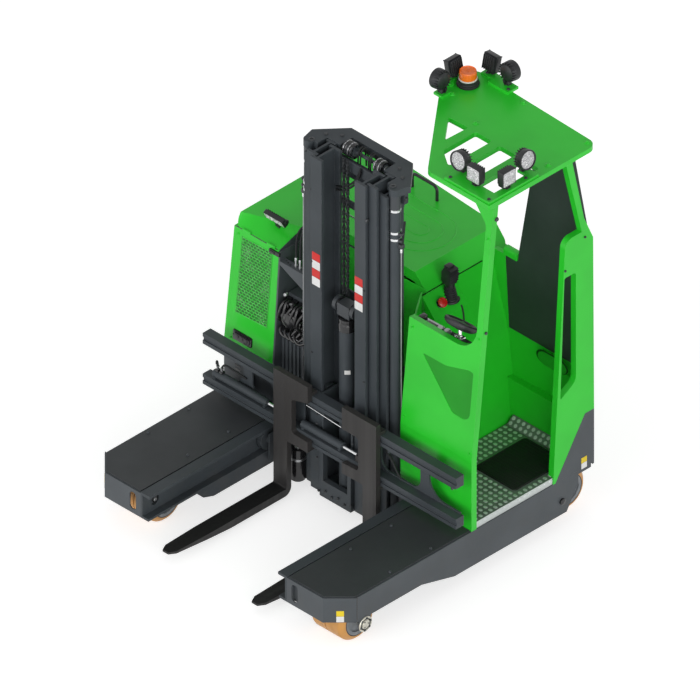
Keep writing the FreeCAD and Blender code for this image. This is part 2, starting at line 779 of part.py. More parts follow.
def lamps():
    """Eight lamps, each turned to the side it lights."""
    places = [
        (round_lamp(), 662, 242, 0), (square_lamp(), 804, 198, 0),
        (square_lamp(), 948, 302, 90), (round_lamp(), 891, 484, 90),
        (square_lamp(), -22, 850, 270), (round_lamp(), 42, 697, 270),
        (square_lamp(), 106, 1026, 180), (round_lamp(), 247, 1010, 180),
    ]
    result = []
    for lamp, x, y, facing in places:
        result.append(lamp.rotated(V(0, 0, 0), Z, facing).translated(V(x, y, 0)))
    return Part.makeCompound(result)


def beacon():
    base = rod(Z, V(beacon_x, beacon_y, roof_top), 66, 34)
    dome = Part.makeCone(58, 52, 70, V(beacon_x, beacon_y, roof_top + 34), Z)
    return fused([base, dome])


def dashboard():
    """Tray behind the front panel that carries the steering knob."""
    low = 1425.0
    y0 = panel_y(low + 32)
    tray = front([(panel_left + 10, low), (900, low), (900, low + 32), (panel_left + 10, low + 18)],
                 y0, y0 + cab_wall + 75)
    return tray.cut(front_panel())


def control_console():
    """Box on the inner wall with a falling top for the levers."""
    return front([(inner_wall_x(980), 980), (340, 1120), console_edge, (inner_wall_x(1378), 1378)],
                 console_front, console_rear).cut(cab_inner_wall())


def on_console(share):
    """Point on the falling top, from its high edge down to its low one."""
    high_x = inner_wall_x(1378)
    low_x, low_z = console_edge
    return high_x + share * (low_x - high_x), 1378 + share * (low_z - 1378)


def steering_knob():
    """Round knob tilted towards the operator, on its stem."""
    middle = V(720, 168, 1530)
    towards = V(0, 0.6, 0.8)
    disc = Part.makeCone(80, 100, 30, middle - towards * 15, towards)
    foot = V(738, 138, 1425)
    stem = rod(middle - foot, foot, 12, (middle - foot).Length)
    return fused([stem, disc]).cut(dashboard())


def joystick():
    """Upright grip on a cone boot."""
    x, z = on_console(0.55)
    boot = Part.makeCone(42, 24, 46, V(x, 530, z - 30), Z)
    stick = rod(Z, V(x, 530, z), 17, 130)
    head = Part.makeCone(22, 32, 60, V(x, 530, z + 118), Z)
    head = head.fuse(Part.makeCone(32, 18, 22, V(x, 530, z + 178), Z))
    return fused([boot, stick, head]).cut(control_console()).cut(cab_inner_wall())


def stop_button():
    x, z = on_console(0.5)
    across = (console_edge[0] - inner_wall_x(1378), console_edge[1] - 1378)
    out = V(-across[1], 0, across[0]).normalize()
    neck = rod(out, V(x, 440, z), 14, 20)
    head = rod(out, V(x, 440, z) + out * 20, 24, 16)
    return fused([neck, head])


# ---------------------------------------------------------------- mast and reach frame
stage_depth = 160.0
flange = 18.0
stage_web = 15.0
outer_rail_x = 322.5                    # centre line to the outside of the outer rails
outer_web_x = 287.0
cross_half = 290.0                      # half length of the outer cross members
cross_thick = 14.0
outer_web = 12.0
barrel_top = 2180.0
stage_step = 30.0                       # each stage stands this much ahead of the one outside it
outer_front = -20.0
middle_front = outer_front - stage_step
inner_front = middle_front - stage_step + 2
roller_r = (stage_depth - 2 * flange) / 2 - slide_gap
lift_cylinder_x = outer_web_x + outer_web + barrel_gap + lift_cylinder_dia / 2
lift_cylinder_y = outer_front + flange + barrel_gap + 1 + lift_cylinder_dia / 2
lift_head_r = lift_cylinder_dia / 2 + 1


def stage_rail(x_in, x_out, web_x, y_front, z0, z1, x_rear=None, web=stage_web):
    """One rolled mast profile: front flange, rear flange that may end earlier, and web."""
    front_flange = box(x_in, x_out, y_front, y_front + flange, z0, z1)
    rear_flange = box(x_in, x_rear or x_out, y_front + stage_depth - flange, y_front + stage_depth,
                      z0, z1)
    wall = box(web_x, web_x + web, y_front, y_front + stage_depth, z0, z1)
    return fused([front_flange, rear_flange, wall])


def roller(x0, x1, stub_from, y_front, z):
    """Mast roller on its stub."""
    y = y_front + stage_depth / 2
    wheel_part = rod(X, V(x0, y, z), roller_r, x1 - x0)
    stub = rod(X, V(min(stub_from, x0), y, z), 22, abs(x0 - stub_from) + 4)
    return wheel_part.fuse(stub)


def outer_mast():
    """Outer rails with their cross members and the feet of the lift cylinders."""
    rail = stage_rail(250, outer_rail_x, outer_web_x, outer_front, mast_foot, outer_top,
                      outer_web_x + outer_web, outer_web)
    back = outer_front + stage_depth
    cross = [box(-cross_half, cross_half, back, back + cross_thick, z, z + 90)
             for z in (mast_foot + 20, 900.0, 2120.0)]
    foot = box(-outer_rail_x, outer_rail_x, outer_front, back, mast_foot - 12, mast_foot)
    half = lift_cylinder_dia / 2 + 3
    lug = box(outer_web_x + outer_web, lift_cylinder_x + half, lift_cylinder_y - half,
              lift_cylinder_y + half, mast_foot - 12, mast_foot + 30)
    clamp = barrel_clamp()
    return fused([rail, mirrored(rail), foot, lug, mirrored(lug), clamp, mirrored(clamp)] + cross)


def barrel_clamp():
    """Block between the outer rail and the lift barrel that steadies it."""
    return box(outer_web_x + outer_web, lift_cylinder_x - lift_cylinder_dia / 2 + 4,
               lift_cylinder_y - 14, lift_cylinder_y + 14, 1880, 1930)


def lift_barrels():
    low = mast_foot + 30
    barrel = ring(Z, V(lift_cylinder_x, lift_cylinder_y, low), lift_cylinder_dia / 2,
                  lift_rod_dia / 2 + shaft_gap, barrel_top - low)
    return pair(barrel.cut(barrel_clamp()))


def lift_rods():
    """Rods with the sleeved heads that push the crown up."""
    low = 380.0
    body = rod(Z, V(lift_cylinder_x, lift_cylinder_y, low), lift_rod_dia / 2, crown_low - low)
    head = rod(Z, V(lift_cylinder_x, lift_cylinder_y, barrel_top + 16), lift_head_r,
               crown_low - barrel_top - 16)
    return pair(fused([body, head]))


def middle_mast():
    rail = stage_rail(197, 274, 226, middle_front, mast_foot + 12, mast_top, 262)
    back = middle_front + stage_depth
    wheel_part = roller(264, 285, 241, outer_front, 190)
    cross = [box(-240, 240, back - 1, back + 11, z, z + 80) for z in (260.0, 1300.0, 2190.0)]
    return fused([rail, mirrored(rail), wheel_part, mirrored(wheel_part)] + cross)


def mast_crown():
    """Head plate behind the middle stage with its chain sheaves and round ears over the lift rods."""
    back = middle_front + stage_depth
    ear_r = lift_head_r + 2
    ear = rod(Z, V(lift_cylinder_x, lift_cylinder_y, crown_low), ear_r, crown_top - crown_low)
    ear_out = lift_cylinder_x + ear_r
    head = plan([(-388, 105), (-ear_out, lift_cylinder_y), (-274, lift_cylinder_y), (-274, back),
                 (-sheave_bay, back), (-sheave_bay, bay_back), (sheave_bay, bay_back),
                 (sheave_bay, back), (274, back), (274, lift_cylinder_y), (ear_out, lift_cylinder_y),
                 (388, 105), (242, 270), (-242, 270)], crown_low, crown_top)
    skirt = box(-236, 236, 256, 270, crown_low - 60, crown_low)
    behind = lift_cylinder_y + lift_head_r + 3
    gusset = box(344, 372, behind, behind + 30, crown_low - 74, crown_low)
    return fused([head, ear, mirrored(ear), skirt, gusset, mirrored(gusset), chain_sheaves()])


def chain_sheaves():
    """Two chain wheels on one shaft across the bay of the crown."""
    big_r = 42.0
    y = middle_front + stage_depth - 10 + big_r
    z = crown_top - 19
    shaft = rod(X, V(-sheave_bay, y, z), 11, 2 * sheave_bay)
    big = rod(X, V(-150, y, z), big_r, 72)
    small = rod(X, V(90, y, z), 37, 62)
    return fused([shaft, big, small])


def inner_mast():
    rail = stage_rail(130, 215, 170, inner_front, mast_foot + 12, mast_top)
    tip_trim = box(130, 170, inner_front - 1, inner_front + stage_depth + 1, 0, 3000)
    rear_keep = rail.cut(tip_trim)
    lips = fused([box(130, 171, inner_front, inner_front + flange, mast_foot + 12, mast_top),
                  box(130, 171, inner_front + stage_depth - flange, inner_front + stage_depth,
                      mast_foot + 12, mast_top)])
    rail = fused([rear_keep, lips])
    wheel_part = roller(200, 223, 184, middle_front, 330)
    back = inner_front + stage_depth
    cross = [box(-186, 186, back - 1, back + 9, z, z + 70) for z in (200.0, 1200.0, 2216.0)]
    shelf = box(-186, 186, free_cylinder_y - 10, back, 100, 124)
    return fused([rail, mirrored(rail), wheel_part, mirrored(wheel_part), shelf] + cross)


def free_barrel():
    """Centre cylinder that lifts the carriage inside the inner stage."""
    return ring(Z, V(0, free_cylinder_y, 124), free_cylinder_dia / 2, free_rod_dia / 2 + shaft_gap,
                1300 - 124)


def free_rod():
    """Rod of the centre cylinder with its crosshead and two chain wheels."""
    body = rod(Z, V(0, free_cylinder_y, 400), free_rod_dia / 2, 1330 - 400)
    head = box(-46, 46, free_cylinder_y - 36, free_cylinder_y + 36, 1320, 1400)
    shaft = rod(X, V(-84, free_cylinder_y, 1370), 14, 168)
    wheel_part = rod(X, V(56, free_cylinder_y, 1370), 44, 24)
    return fused([body, head, shaft, wheel_part, mirrored(wheel_part)])


def reach_frame():
    """Carrier of the mast between the arms, rolling in the reach rails."""
    low = 112.0
    high = 322.0
    outer = rail_inner - run_gap - 2
    back = outer_front + stage_depth + cross_thick
    cheek = side([(-130, 150), (-60, low), (back, low), (back, high), (-130, high)],
                 outer - plate, outer)
    for y, z, r in ((-60.0, 235.0, 42.0), (50.0, 250.0, 34.0)):
        cheek = cheek.cut(rod(X, V(outer - plate - 5, y, z), r, plate + 10))
    beam = box(cross_half + slide_gap, outer - 1, back - cross_thick, back, low, high)
    beam = beam.cut(rod(Y, V(410, back - cross_thick - 5, 215), 46, cross_thick + 10))
    web = box(lift_cylinder_x + lift_cylinder_dia / 2 + 11, outer - 1, 20, 20 + plate, low, high)
    web = web.cut(rod(Y, V(440, 15, 215), 44, plate + 10))
    return fused([cheek, beam, web])


def reach_rollers():
    """Rollers of the reach frame, one pair in each rail."""
    outer = rail_inner - run_gap - 2
    r = (deck_height - 17 - skirt_high - 15) / 2 - slide_gap
    z = skirt_high + 15 + r + slide_gap
    parts = []
    for y in (-95.0, 80.0):
        stub = rod(X, V(outer - plate, y, z), 24, arm_inner - 30 - outer)
        tread = rod(X, V(rail_inner + 14, y, z), r, 32)
        parts.append(stub.fuse(tread))
    return parts


def reach_carrier():
    half = fused([reach_frame()] + reach_rollers())
    return pair(half)


# ---------------------------------------------------------------- fork carriage
def carriage_bars():
    """Two full width bars with a guide groove in each front face, joined by filleted webs."""
    bars = []
    for low, high in (lower_bar, upper_bar):
        bar = box(-bar_half, bar_half, bar_front, bar_back, low, high)
        middle = (low + high) / 2
        groove = box(-bar_half - 5, bar_half + 5, bar_front - 5, bar_front + 8,
                     middle - 12, middle + 12)
        bars.append(bar.cut(groove))
    web = bar_web()
    return fused(bars + [web, mirrored(web)])


def bar_web():
    """Plate between the bars, with a window and a long fillet out to the bar's end."""
    low = lower_bar[1]
    high = upper_bar[0]
    rim = low + 7
    outline = [(250, low), (250, high), (352, high), (352, rim), (660, rim), (660, high),
               (728, high), (728, rim), (bar_half - 25, rim), (bar_half - 25, low)]
    return front(outline, bar_back - 6, bar_back + 6, [0, 0, 0, 65, 65, 0, 0, 120, 0, 0])


def carriage_frame():
    """Roller cheeks behind the bars and the low cross plate in front of the mast."""
    low, high = lower_bar[0], upper_bar[1]
    cheek = box(108, 122, bar_back, inner_front + stage_depth - flange - 20, low - 60, high)
    wheels = [roller(142, 166, 112, inner_front, z) for z in (low + 62, high - 64)]
    strap = box(95, 122, strap_face, strap_face + 36, strap_low, low)
    half = fused([cheek, strap] + wheels)
    foot_plate = box(-108, 108, strap_face, strap_face + 36, strap_low, strap_low + 110)
    return fused([half, mirrored(half), foot_plate])


def fork(side_sign):
    """L-shaped fork with the hook plate that hangs on the bars."""
    front_y = bar_front - slide_gap - shank_thick
    back_y = bar_front - slide_gap
    blade = side([(back_y, fork_top - fork_thick), (back_y, fork_top + 60), (front_y, fork_top + 60),
                  (front_y, fork_top), (fork_tip, fork_top), (fork_tip, fork_top - 12),
                  (-620, fork_top - fork_thick)], fork_inner, fork_outer,
                 [52, 0, 0, 10, 0, 0, 0])
    taper = plan([(fork_inner - 5, back_y + 5), (fork_outer + 5, back_y + 5),
                  (fork_outer + 5, -800), (fork_outer, -800), (fork_outer - 8, fork_tip + 44),
                  (fork_centre + 22, fork_tip), (fork_centre - 22, fork_tip),
                  (fork_inner + 8, fork_tip + 44), (fork_inner, -800), (fork_inner - 5, -800)],
                 0, 1000)
    blade = blade.common(taper)
    shank = box(fork_inner, fork_outer, front_y, back_y, fork_top + 50, hook_top)
    plate_block = box(hook_inner, fork_outer, front_y, back_y, lower_bar[0] - 25, hook_top)
    mouth_high = 700 if side_sign > 0 else 736
    throat = front([(hook_inner - 5, 470), (262, 475), (262, 700), (hook_inner - 5, mouth_high)],
                   front_y - 5, back_y + 5, [0, 22, 22, 0])
    body = plate_block.cut(throat)
    top_hook = box(hook_inner, fork_outer, back_y, bar_front + 40, upper_bar[1] + slide_gap,
                   upper_bar[1] + 18)
    low_hook = box(hook_inner, fork_outer, back_y, bar_front + 40, lower_bar[0] - 25,
                   lower_bar[0] - slide_gap)
    lug_x = right_lug_x if side_sign > 0 else left_lug_x
    lug = box(lug_x, lug_x + lug_long, back_y, rod_line_y + 20, rod_line_z - 20, rod_line_z + 20)
    shape = fused([blade, shank, body, top_hook, low_hook, lug])
    return shape if side_sign > 0 else mirrored(shape)


def spread_cylinders():
    """Fork positioning barrels along the lower bar and the guide rod under the upper bar."""
    y = rod_line_y
    z = rod_line_z
    parts = []
    for x0, x1 in ((-930.0, -510.0), (-235.0, 80.0)):
        barrel = ring(X, V(x0, y, z), 24, spread_rod_r + shaft_gap, x1 - x0)
        for x in (x0 + 6, x1 - 22):
            ear = box(x, x + 16, y - 22, y + 22, lower_bar[1], z - 16)
            barrel = barrel.fuse(ear)
        parts.append(barrel.removeSplitter())
    zr = upper_bar[0] - 22
    guide = rod(X, V(440, y, zr), 9, 510)
    posts = [box(x, x + 14, y - 12, y + 12, zr - 14, upper_bar[0]) for x in (440.0, 936.0)]
    parts.append(fused([guide] + posts))
    return Part.makeCompound(parts)


def spread_rod(side_sign):
    """Rod that pushes one fork, drawn at the middle of its stroke."""
    if side_sign > 0:
        return rod(X, V(-100, rod_line_y, rod_line_z), spread_rod_r, right_lug_x + 100)
    end = -left_lug_x - lug_long
    return rod(X, V(-700, rod_line_y, rod_line_z), spread_rod_r, end + 700)


# ---------------------------------------------------------------- export
def corner_nodes(name, sign, front_x, front_y):
    """Wheels and steering yoke of one side."""
    shapes = {
        name + "_front_wheel": wheel(front_x, front_y),
        name + "_rear_wheel": wheel(rear_wheel_x, rear_axle_y),
        name + "_rear_yoke": steer_yoke(),
    }
    if sign < 0:
        shapes = {key: mirrored(value) for key, value in shapes.items()}
    return shapes


def build():
    right_front = (front_wheel_x, front_axle_y)
    left_front = (left_wheel_x, left_axle_y)
    right_stop = cab_foot_y - 4
    left_stop = pack_front - 4
    nodes = {
        "right_arm": arm(*right_front),
        "left_arm": mirrored(arm(*left_front)),
        "reach_rails": Part.makeCompound([reach_rail(right_stop), mirrored(reach_rail(left_stop))]),
        "arm_decks": Part.makeCompound([arm_deck(right_stop), mirrored(arm_deck(left_stop))]),
        "front_axles": Part.makeCompound([front_axle(*right_front), mirrored(front_axle(*left_front))]),
        "chassis_frame": chassis_frame(),
        "rear_frame": rear_frame(),
        "counterweight": counterweight(),
        "power_base": power_base(),
        "mast_well": mast_well(),
        "power_unit": power_unit(),
        "hydraulic_tank": hydraulic_tank(),
        "side_cover": side_cover(),
        "grille_panel": grille_panel(),
        "rear_cover": rear_cover(),
        "cab_inner_wall": cab_inner_wall(),
        "engine_lid": lid(),
        "lid_handle": lid_handle(),
        "lid_lamp": lid_lamp(),
        "cab_floor": cab_floor(),
        "floor_mat": floor_mat(),
        "cab_front_panel": front_panel(),
        "cab_side_panel": side_panel(),
        "rear_pillar": rear_pillar(),
        "cab_rear_wall": Part.makeCompound([rear_wall(), shoulder_cap()]),
        "cab_rear_guard": rear_guard(),
        "cab_roof": roof(),
        "work_lamps": lamps(),
        "beacon": beacon(),
        "dashboard": dashboard(),
        "control_console": control_console(),
        "hand_controls": Part.makeCompound([steering_knob(), joystick()]),
        "stop_button": stop_button(),
        "reach_carrier": reach_carrier(),
        "outer_mast": outer_mast(),
        "lift_barrels": lift_barrels(),
        "middle_mast": middle_mast(),
        "mast_crown": mast_crown(),
        "lift_rods": lift_rods(),
        "inner_mast": inner_mast(),
        "free_lift_barrel": free_barrel(),
        "free_lift_rod": free_rod(),
        "carriage_bars": carriage_bars(),
        "carriage_frame": carriage_frame(),
        "spread_cylinders": spread_cylinders(),
        "right_fork": fork(1),
        "left_fork": fork(-1),
        "right_spread_rod": spread_rod(1),
        "left_spread_rod": spread_rod(-1),
    }
    nodes.update(corner_nodes("right", 1, *right_front))
    nodes.update(corner_nodes("left", -1, *left_front))
    return nodes


os.makedirs("parts", exist_ok=True)
parts = build()
print(len(parts), "nodes")
for name, shape in parts.items():
    if not shape.isValid():
        print("not valid:", name)
    if shape.ShapeType == "Compound" and len(shape.Solids) == 1:
        shape = shape.Solids[0]
    shape.exportStep("parts/" + name + ".step")
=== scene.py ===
import bpy
import bmesh
import math
from mathutils import Matrix, Vector


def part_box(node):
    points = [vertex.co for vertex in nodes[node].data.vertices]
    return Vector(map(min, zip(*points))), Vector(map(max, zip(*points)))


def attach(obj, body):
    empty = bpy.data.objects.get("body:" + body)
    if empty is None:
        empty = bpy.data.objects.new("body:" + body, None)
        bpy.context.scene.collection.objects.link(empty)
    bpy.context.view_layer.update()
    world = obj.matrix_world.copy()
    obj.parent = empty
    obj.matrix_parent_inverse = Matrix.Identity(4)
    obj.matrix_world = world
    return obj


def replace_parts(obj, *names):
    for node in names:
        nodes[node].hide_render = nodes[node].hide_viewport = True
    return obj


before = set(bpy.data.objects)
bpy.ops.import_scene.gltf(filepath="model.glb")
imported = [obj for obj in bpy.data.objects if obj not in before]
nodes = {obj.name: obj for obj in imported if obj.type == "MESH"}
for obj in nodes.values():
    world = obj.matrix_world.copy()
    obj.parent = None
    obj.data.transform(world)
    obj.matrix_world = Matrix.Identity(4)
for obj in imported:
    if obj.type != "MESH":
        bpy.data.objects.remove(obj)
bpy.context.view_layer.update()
scene = bpy.context.scene

# camera, lamps, floor
studio = {
    "aim": (0.003, 0.013, 1.072),        # what the camera looks at, in metres
    "width": 3.889,                      # width of the view at the truck
    "back": (1.0, -1.0, 1.0),            # from the truck towards the camera
    "horizon": 0.66, "zenith": 0.42,     # daylight on the truck
    "horizonSeen": 1.0, "zenithSeen": 0.60,
    "suns": [("keySun", (0.85, -0.48, 0.16), 1.75, 50), ("frontSun", (-0.1, -0.98, 0.22), 0.95, 50)],
    "floorReach": 40, "floorBounce": 0.75, "floorShadow": 0.34,
}


def makeCamera():
    data = bpy.data.cameras.new("camera")
    data.type = "ORTHO"
    data.ortho_scale = studio["width"]
    data.clip_end = 60
    camera = bpy.data.objects.new("camera", data)
    scene.collection.objects.link(camera)
    back = Vector(studio["back"]).normalized()
    camera.rotation_mode = "QUATERNION"
    camera.rotation_quaternion = (-back).to_track_quat("-Z", "Y")
    camera.location = Vector(studio["aim"]) + back * 12
    scene.camera = camera


class Wire:
    # one socket of a node tree: sums of wires add Math nodes, and add() makes any other node
    def __init__(self, tree, socket=None):
        self.tree = tree
        self.socket = socket

    def add(self, kind, settings=None, sockets=None, out=0):
        made = self.tree.nodes.new("ShaderNode" + kind)
        for name, value in (settings or {}).items():
            if name == "stops":
                ramp = made.color_ramp.elements
                while len(ramp) < len(value):
                    ramp.new(0.5)
                for stop, (place, colour) in zip(ramp, value):
                    stop.position = place
                    stop.color = (*colour, 1)
            else:
                setattr(made, name, value)
        for name, value in (sockets or {}).items():
            if isinstance(value, Wire):
                self.tree.links.new(value.socket, made.inputs[name])
            else:
                made.inputs[name].default_value = value
        return Wire(self.tree, made.outputs[out])

    def maths(self, operation, first, second=0.0):
        return self.add("Math", {"operation": operation}, {0: first, 1: second})

    def __add__(self, other):
        return self.maths("ADD", self, other)

    def __sub__(self, other):
        return self.maths("SUBTRACT", self, other)

    def __rsub__(self, other):
        return self.maths("SUBTRACT", other, self)

    def __mul__(self, other):
        return self.maths("MULTIPLY", self, other)

    __radd__ = __add__
    __rmul__ = __mul__

    def ramp(self, low, high):
        # 0 below low, 1 above high
        return self.add("MapRange", {"interpolation_type": "SMOOTHSTEP"},
                        {"Value": self, "From Min": low, "From Max": high})

    def clamp(self):
        return self.add("Clamp", None, {"Value": self})

    def blend(self, first, second):
        # colour first where this wire is 0, second where it is 1
        def colour(value):
            return value if isinstance(value, Wire) else (*value, 1)
        return self.add("Mix", {"data_type": "RGBA"}, {0: self, 6: colour(first), 7: colour(second)}, 2)

    def place(self, scale=(1, 1, 1), shift=(0, 0, 0)):
        # the point on the piece, in metres, stretched by scale
        point = self.add("TexCoord", None, None, 3)
        moved = self.add("VectorMath", {"operation": "ADD"}, {0: point, 1: shift})
        return self.add("VectorMath", {"operation": "MULTIPLY"}, {0: moved, 1: scale})

    def split(self):
        # the three numbers of a vector
        parts = self.tree.nodes.new("ShaderNodeSeparateXYZ")
        self.tree.links.new(self.socket, parts.inputs[0])
        return [Wire(self.tree, out) for out in parts.outputs]

    def noise(self, scale, detail=2.0, stretch=(1, 1, 1), shift=(0, 0, 0)):
        return self.add("TexNoise", None, {"Vector": self.place(stretch, shift), "Scale": scale,
                                           "Detail": detail, "Roughness": 0.55})

    def edge(self, radius):
        # 1 on outer and inner edges, 0 on flat faces
        rounded = self.add("Bevel", {"samples": 4}, {"Radius": radius})
        flat = self.add("NewGeometry", None, None, 1)
        along = self.add("VectorMath", {"operation": "DOT_PRODUCT"}, {0: rounded, 1: flat}, 1)
        return (1 - along).ramp(0.01, 0.16)


def newMaterial(name):
    made = bpy.data.materials.new(name)
    made.use_nodes = True
    shader = made.node_tree.nodes["Principled BSDF"]
    return made, Wire(made.node_tree), shader


def relief(wire, height, depth, rounding=0.0):
    # bump of a given depth in metres, over edges rounded off in the shading
    sockets = {"Height": height, "Distance": depth, "Strength": 1.0}
    if rounding:
        sockets["Normal"] = wire.add("Bevel", {"samples": 4}, {"Radius": rounding})
    return wire.add("Bump", None, sockets)


def seenRays(wire):
    # 1 for what the camera, metal and glass see, 0 for the light that falls on things
    rays = [wire.add("LightPath", None, None, out) for out in (0, 3, 6)]
    return (rays[0] + rays[1] + rays[2]).clamp()


def makeStudio():
    world = bpy.data.worlds.new("daylight")
    world.use_nodes = True
    scene.world = world
    wire = Wire(world.node_tree)
    up = wire.add("TexCoord", None, None, 0).split()[2].ramp(0.0, 0.9)
    plain = studio["horizon"] + up * (studio["zenith"] - studio["horizon"])
    shown = studio["horizonSeen"] + up * (studio["zenithSeen"] - studio["horizonSeen"])
    strength = plain + seenRays(wire) * (shown - plain)
    ground = world.node_tree.nodes["Background"]
    world.node_tree.links.new(strength.socket, ground.inputs["Strength"])
    ground.inputs["Color"].default_value = (1, 1, 1, 1)
    for name, towards, power, spread in studio["suns"]:
        data = bpy.data.lights.new(name, "SUN")
        data.energy = power
        data.angle = math.radians(spread)
        lamp = bpy.data.objects.new(name, data)
        lamp.rotation_mode = "QUATERNION"
        lamp.rotation_quaternion = Vector(towards).to_track_quat("Z", "Y")
        scene.collection.objects.link(lamp)
    scene.view_settings.view_transform = "Standard"


def makeFloor():
    mesh = bpy.data.meshes.new("studioFloor")
    reach = studio["floorReach"]
    mesh.from_pydata([(-reach, -reach, 0), (reach, -reach, 0), (reach, reach, 0), (-reach, reach, 0)],
                     [], [(0, 1, 2, 3)])
    floor = bpy.data.objects.new("studioFloor", mesh)
    scene.collection.objects.link(floor)
    made, wire, shader = newMaterial("paleFloor")
    shader.inputs["Base Color"].default_value = (*[studio["floorBounce"]] * 3, 1)
    shader.inputs["Roughness"].default_value = 0.9
    shader.inputs["Specular IOR Level"].default_value = 0.1
    # seen directly, the floor is near white and its shadow stays pale
    white = wire.add("Emission", None, {"Strength": 1 - studio["floorShadow"]})
    lit = wire.add("BsdfDiffuse", None, {"Color": (*[studio["floorShadow"] / 0.5] * 3, 1)})
    seenFloor = wire.add("AddShader", None, {0: white, 1: lit})
    bounced = Wire(wire.tree, shader.outputs[0])
    mixed = wire.add("MixShader", None, {0: seenRays(wire), 1: bounced, 2: seenFloor})
    output = wire.tree.nodes["Material Output"]
    wire.tree.links.new(mixed.socket, output.inputs["Surface"])
    mesh.materials.append(made)


makeCamera()
makeStudio()
makeFloor()
print("studio ready")

# finishes: each maker gives what it feeds the shader with and the plain values
def makePaint(wire, colour, patches, rubbed, rough, grain, coat, shine):
    broad = wire.noise(2.2, 3.0).ramp(0.35, 0.68)   # large soft patches
    fine = wire.noise(320.0, 2.0)                    # grain of the sprayed coat
    edges = wire.edge(0.004) * wire.noise(26.0, 4.0).ramp(0.38, 0.60)
    height = wire.place().split()[2]
    # dust gathers near the floor
    dust = (1 - height.ramp(0.04, 0.42)) * wire.noise(9.0, 5.0).ramp(0.45, 0.75) * 0.22
    tone = broad.blend(colour, patches)
    speck = (fine.ramp(0.62, 0.75) * 0.16).blend(tone, rubbed)
    dusty = dust.blend(speck, (0.16, 0.15, 0.13))
    return {
        "Base Color": (edges * 0.55).blend(dusty, rubbed),
        "Roughness": rough + (wire.noise(14.0, 4.0) - 0.5) * 0.14 + dust * 0.8,
        "Normal": relief(wire, fine, grain, 0.0022),
    }, {"Coat Weight": coat, "Coat Roughness": 0.22, "Specular IOR Level": shine}


def makeMetal(wire, colour, stain, rough, stretch, streak, metal=1.0):
    # drawn or plated metal: streaks run along the axis with the smallest stretch
    lines = wire.noise(streak, 4.0, stretch)
    cloud = wire.noise(7.0, 3.0).ramp(0.4, 0.75)
    return {
        "Base Color": (cloud * 0.6 + lines * 0.3).clamp().blend(colour, stain),
        "Roughness": rough + lines * 0.16,
        "Normal": relief(wire, lines, 0.00003, 0.0012),
    }, {"Metallic": metal}


def makePlastic(wire, colour, paler, rough, grain, depth, shine=0.4):
    dots = wire.noise(grain, 3.0)
    cloud = wire.noise(11.0, 4.0).ramp(0.42, 0.72)
    edges = wire.edge(0.002)
    return {
        "Base Color": (cloud * 0.5 + edges * 0.4).clamp().blend(colour, paler),
        "Roughness": rough + (dots - 0.5) * 0.2,
        "Normal": relief(wire, dots, depth, 0.0012),
    }, {"Specular IOR Level": shine}


def makeForkSteel(wire):
    # painted forging with long scuffs up the shank, worn on the blade; the blade's upward faces are darker,
    # which is painted shade
    height = wire.place().split()[2]
    streaks = wire.noise(22.0, 2.0, (1, 1, 0.02)).ramp(0.30, 0.72)
    scuffs = wire.noise(34.0, 5.0, (1, 0.08, 1)).ramp(0.56, 0.70)
    shank = height.ramp(0.10, 0.22)
    tone = (streaks * 0.5).blend((0.033, 0.031, 0.030), (0.022, 0.021, 0.021))
    blade = (scuffs * 0.4).blend((0.005, 0.005, 0.005), (0.022, 0.022, 0.022))
    # painted shade: faces of the blade that look up are darker, with lighter scuffs of wear on them
    shadedTop = wire.add("NewGeometry", None, None, 1).split()[2].ramp(0.6, 0.95)
    body = shank.blend(shadedTop.blend((0.022, 0.021, 0.021), blade), tone)
    return {
        "Base Color": (wire.edge(0.003) * 0.5).blend(body, (0.085, 0.082, 0.080)),
        "Roughness": 0.44 + streaks * 0.14 + (1 - shank) * 0.14,
        "Normal": relief(wire, wire.noise(180.0, 3.0), 0.00012, 0.003),
    }, {"Specular IOR Level": 0.4}


tyreSizes = {
    # height of the axle, radii where the painted shade of the gap, the tread and the scuffed face begin,
    #     # and half the width of the painted shade line between two tyres
    "axle": 0.135, "gapShade": (0.092, 0.094), "tread": (0.098, 0.100), "scuffed": (0.126, 0.133),
    "line": (0.0010, 0.0026),
}


def makeTyre(wire, axleY, rubbed, split):
    # orange polyurethane tread on a grey cast hub
    point = wire.place((0, 1, 1), (0, -axleY, -tyreSizes["axle"]))
    radius = wire.add("VectorMath", {"operation": "LENGTH"}, {0: point}, 1)
    tread = radius.ramp(*tyreSizes["tread"])
    rings = wire.noise(40.0, 2.0, (1, 0.15, 0.15)).ramp(0.3, 0.8)
    marks = wire.noise(16.0, 5.0).ramp(0.5, 0.72) * radius.ramp(*tyreSizes["scuffed"])
    orange = (rings * 0.3).blend((0.60, 0.29, 0.075), (0.52, 0.245, 0.060))
    orange = (marks * rubbed).blend(orange, (0.36, 0.19, 0.07))
    # painted shade: a dark line between the two tyres on the hub, and a near-black ring in the gap round it
    across = wire.add("Math", {"operation": "ABSOLUTE"}, {0: wire.place().split()[0]}) - split
    line = 1 - wire.add("Math", {"operation": "ABSOLUTE"}, {0: across}).ramp(*tyreSizes["line"])
    orange = (line * 0.6).blend(orange, (0.12, 0.06, 0.02))
    gapShade = radius.ramp(*tyreSizes["gapShade"]) * (1 - tread)
    hub = wire.noise(24.0, 3.0).ramp(0.4, 0.7).blend((0.17, 0.185, 0.20), (0.23, 0.245, 0.26))
    hub = gapShade.blend(hub, (0.010, 0.010, 0.011))
    return {
        "Base Color": tread.blend(hub, orange),
        "Roughness": 0.46 + marks * 0.2 - tread * 0.06,
        "Normal": relief(wire, wire.noise(260.0, 3.0), 0.00006, 0.002),
    }, {"Specular IOR Level": 0.45}


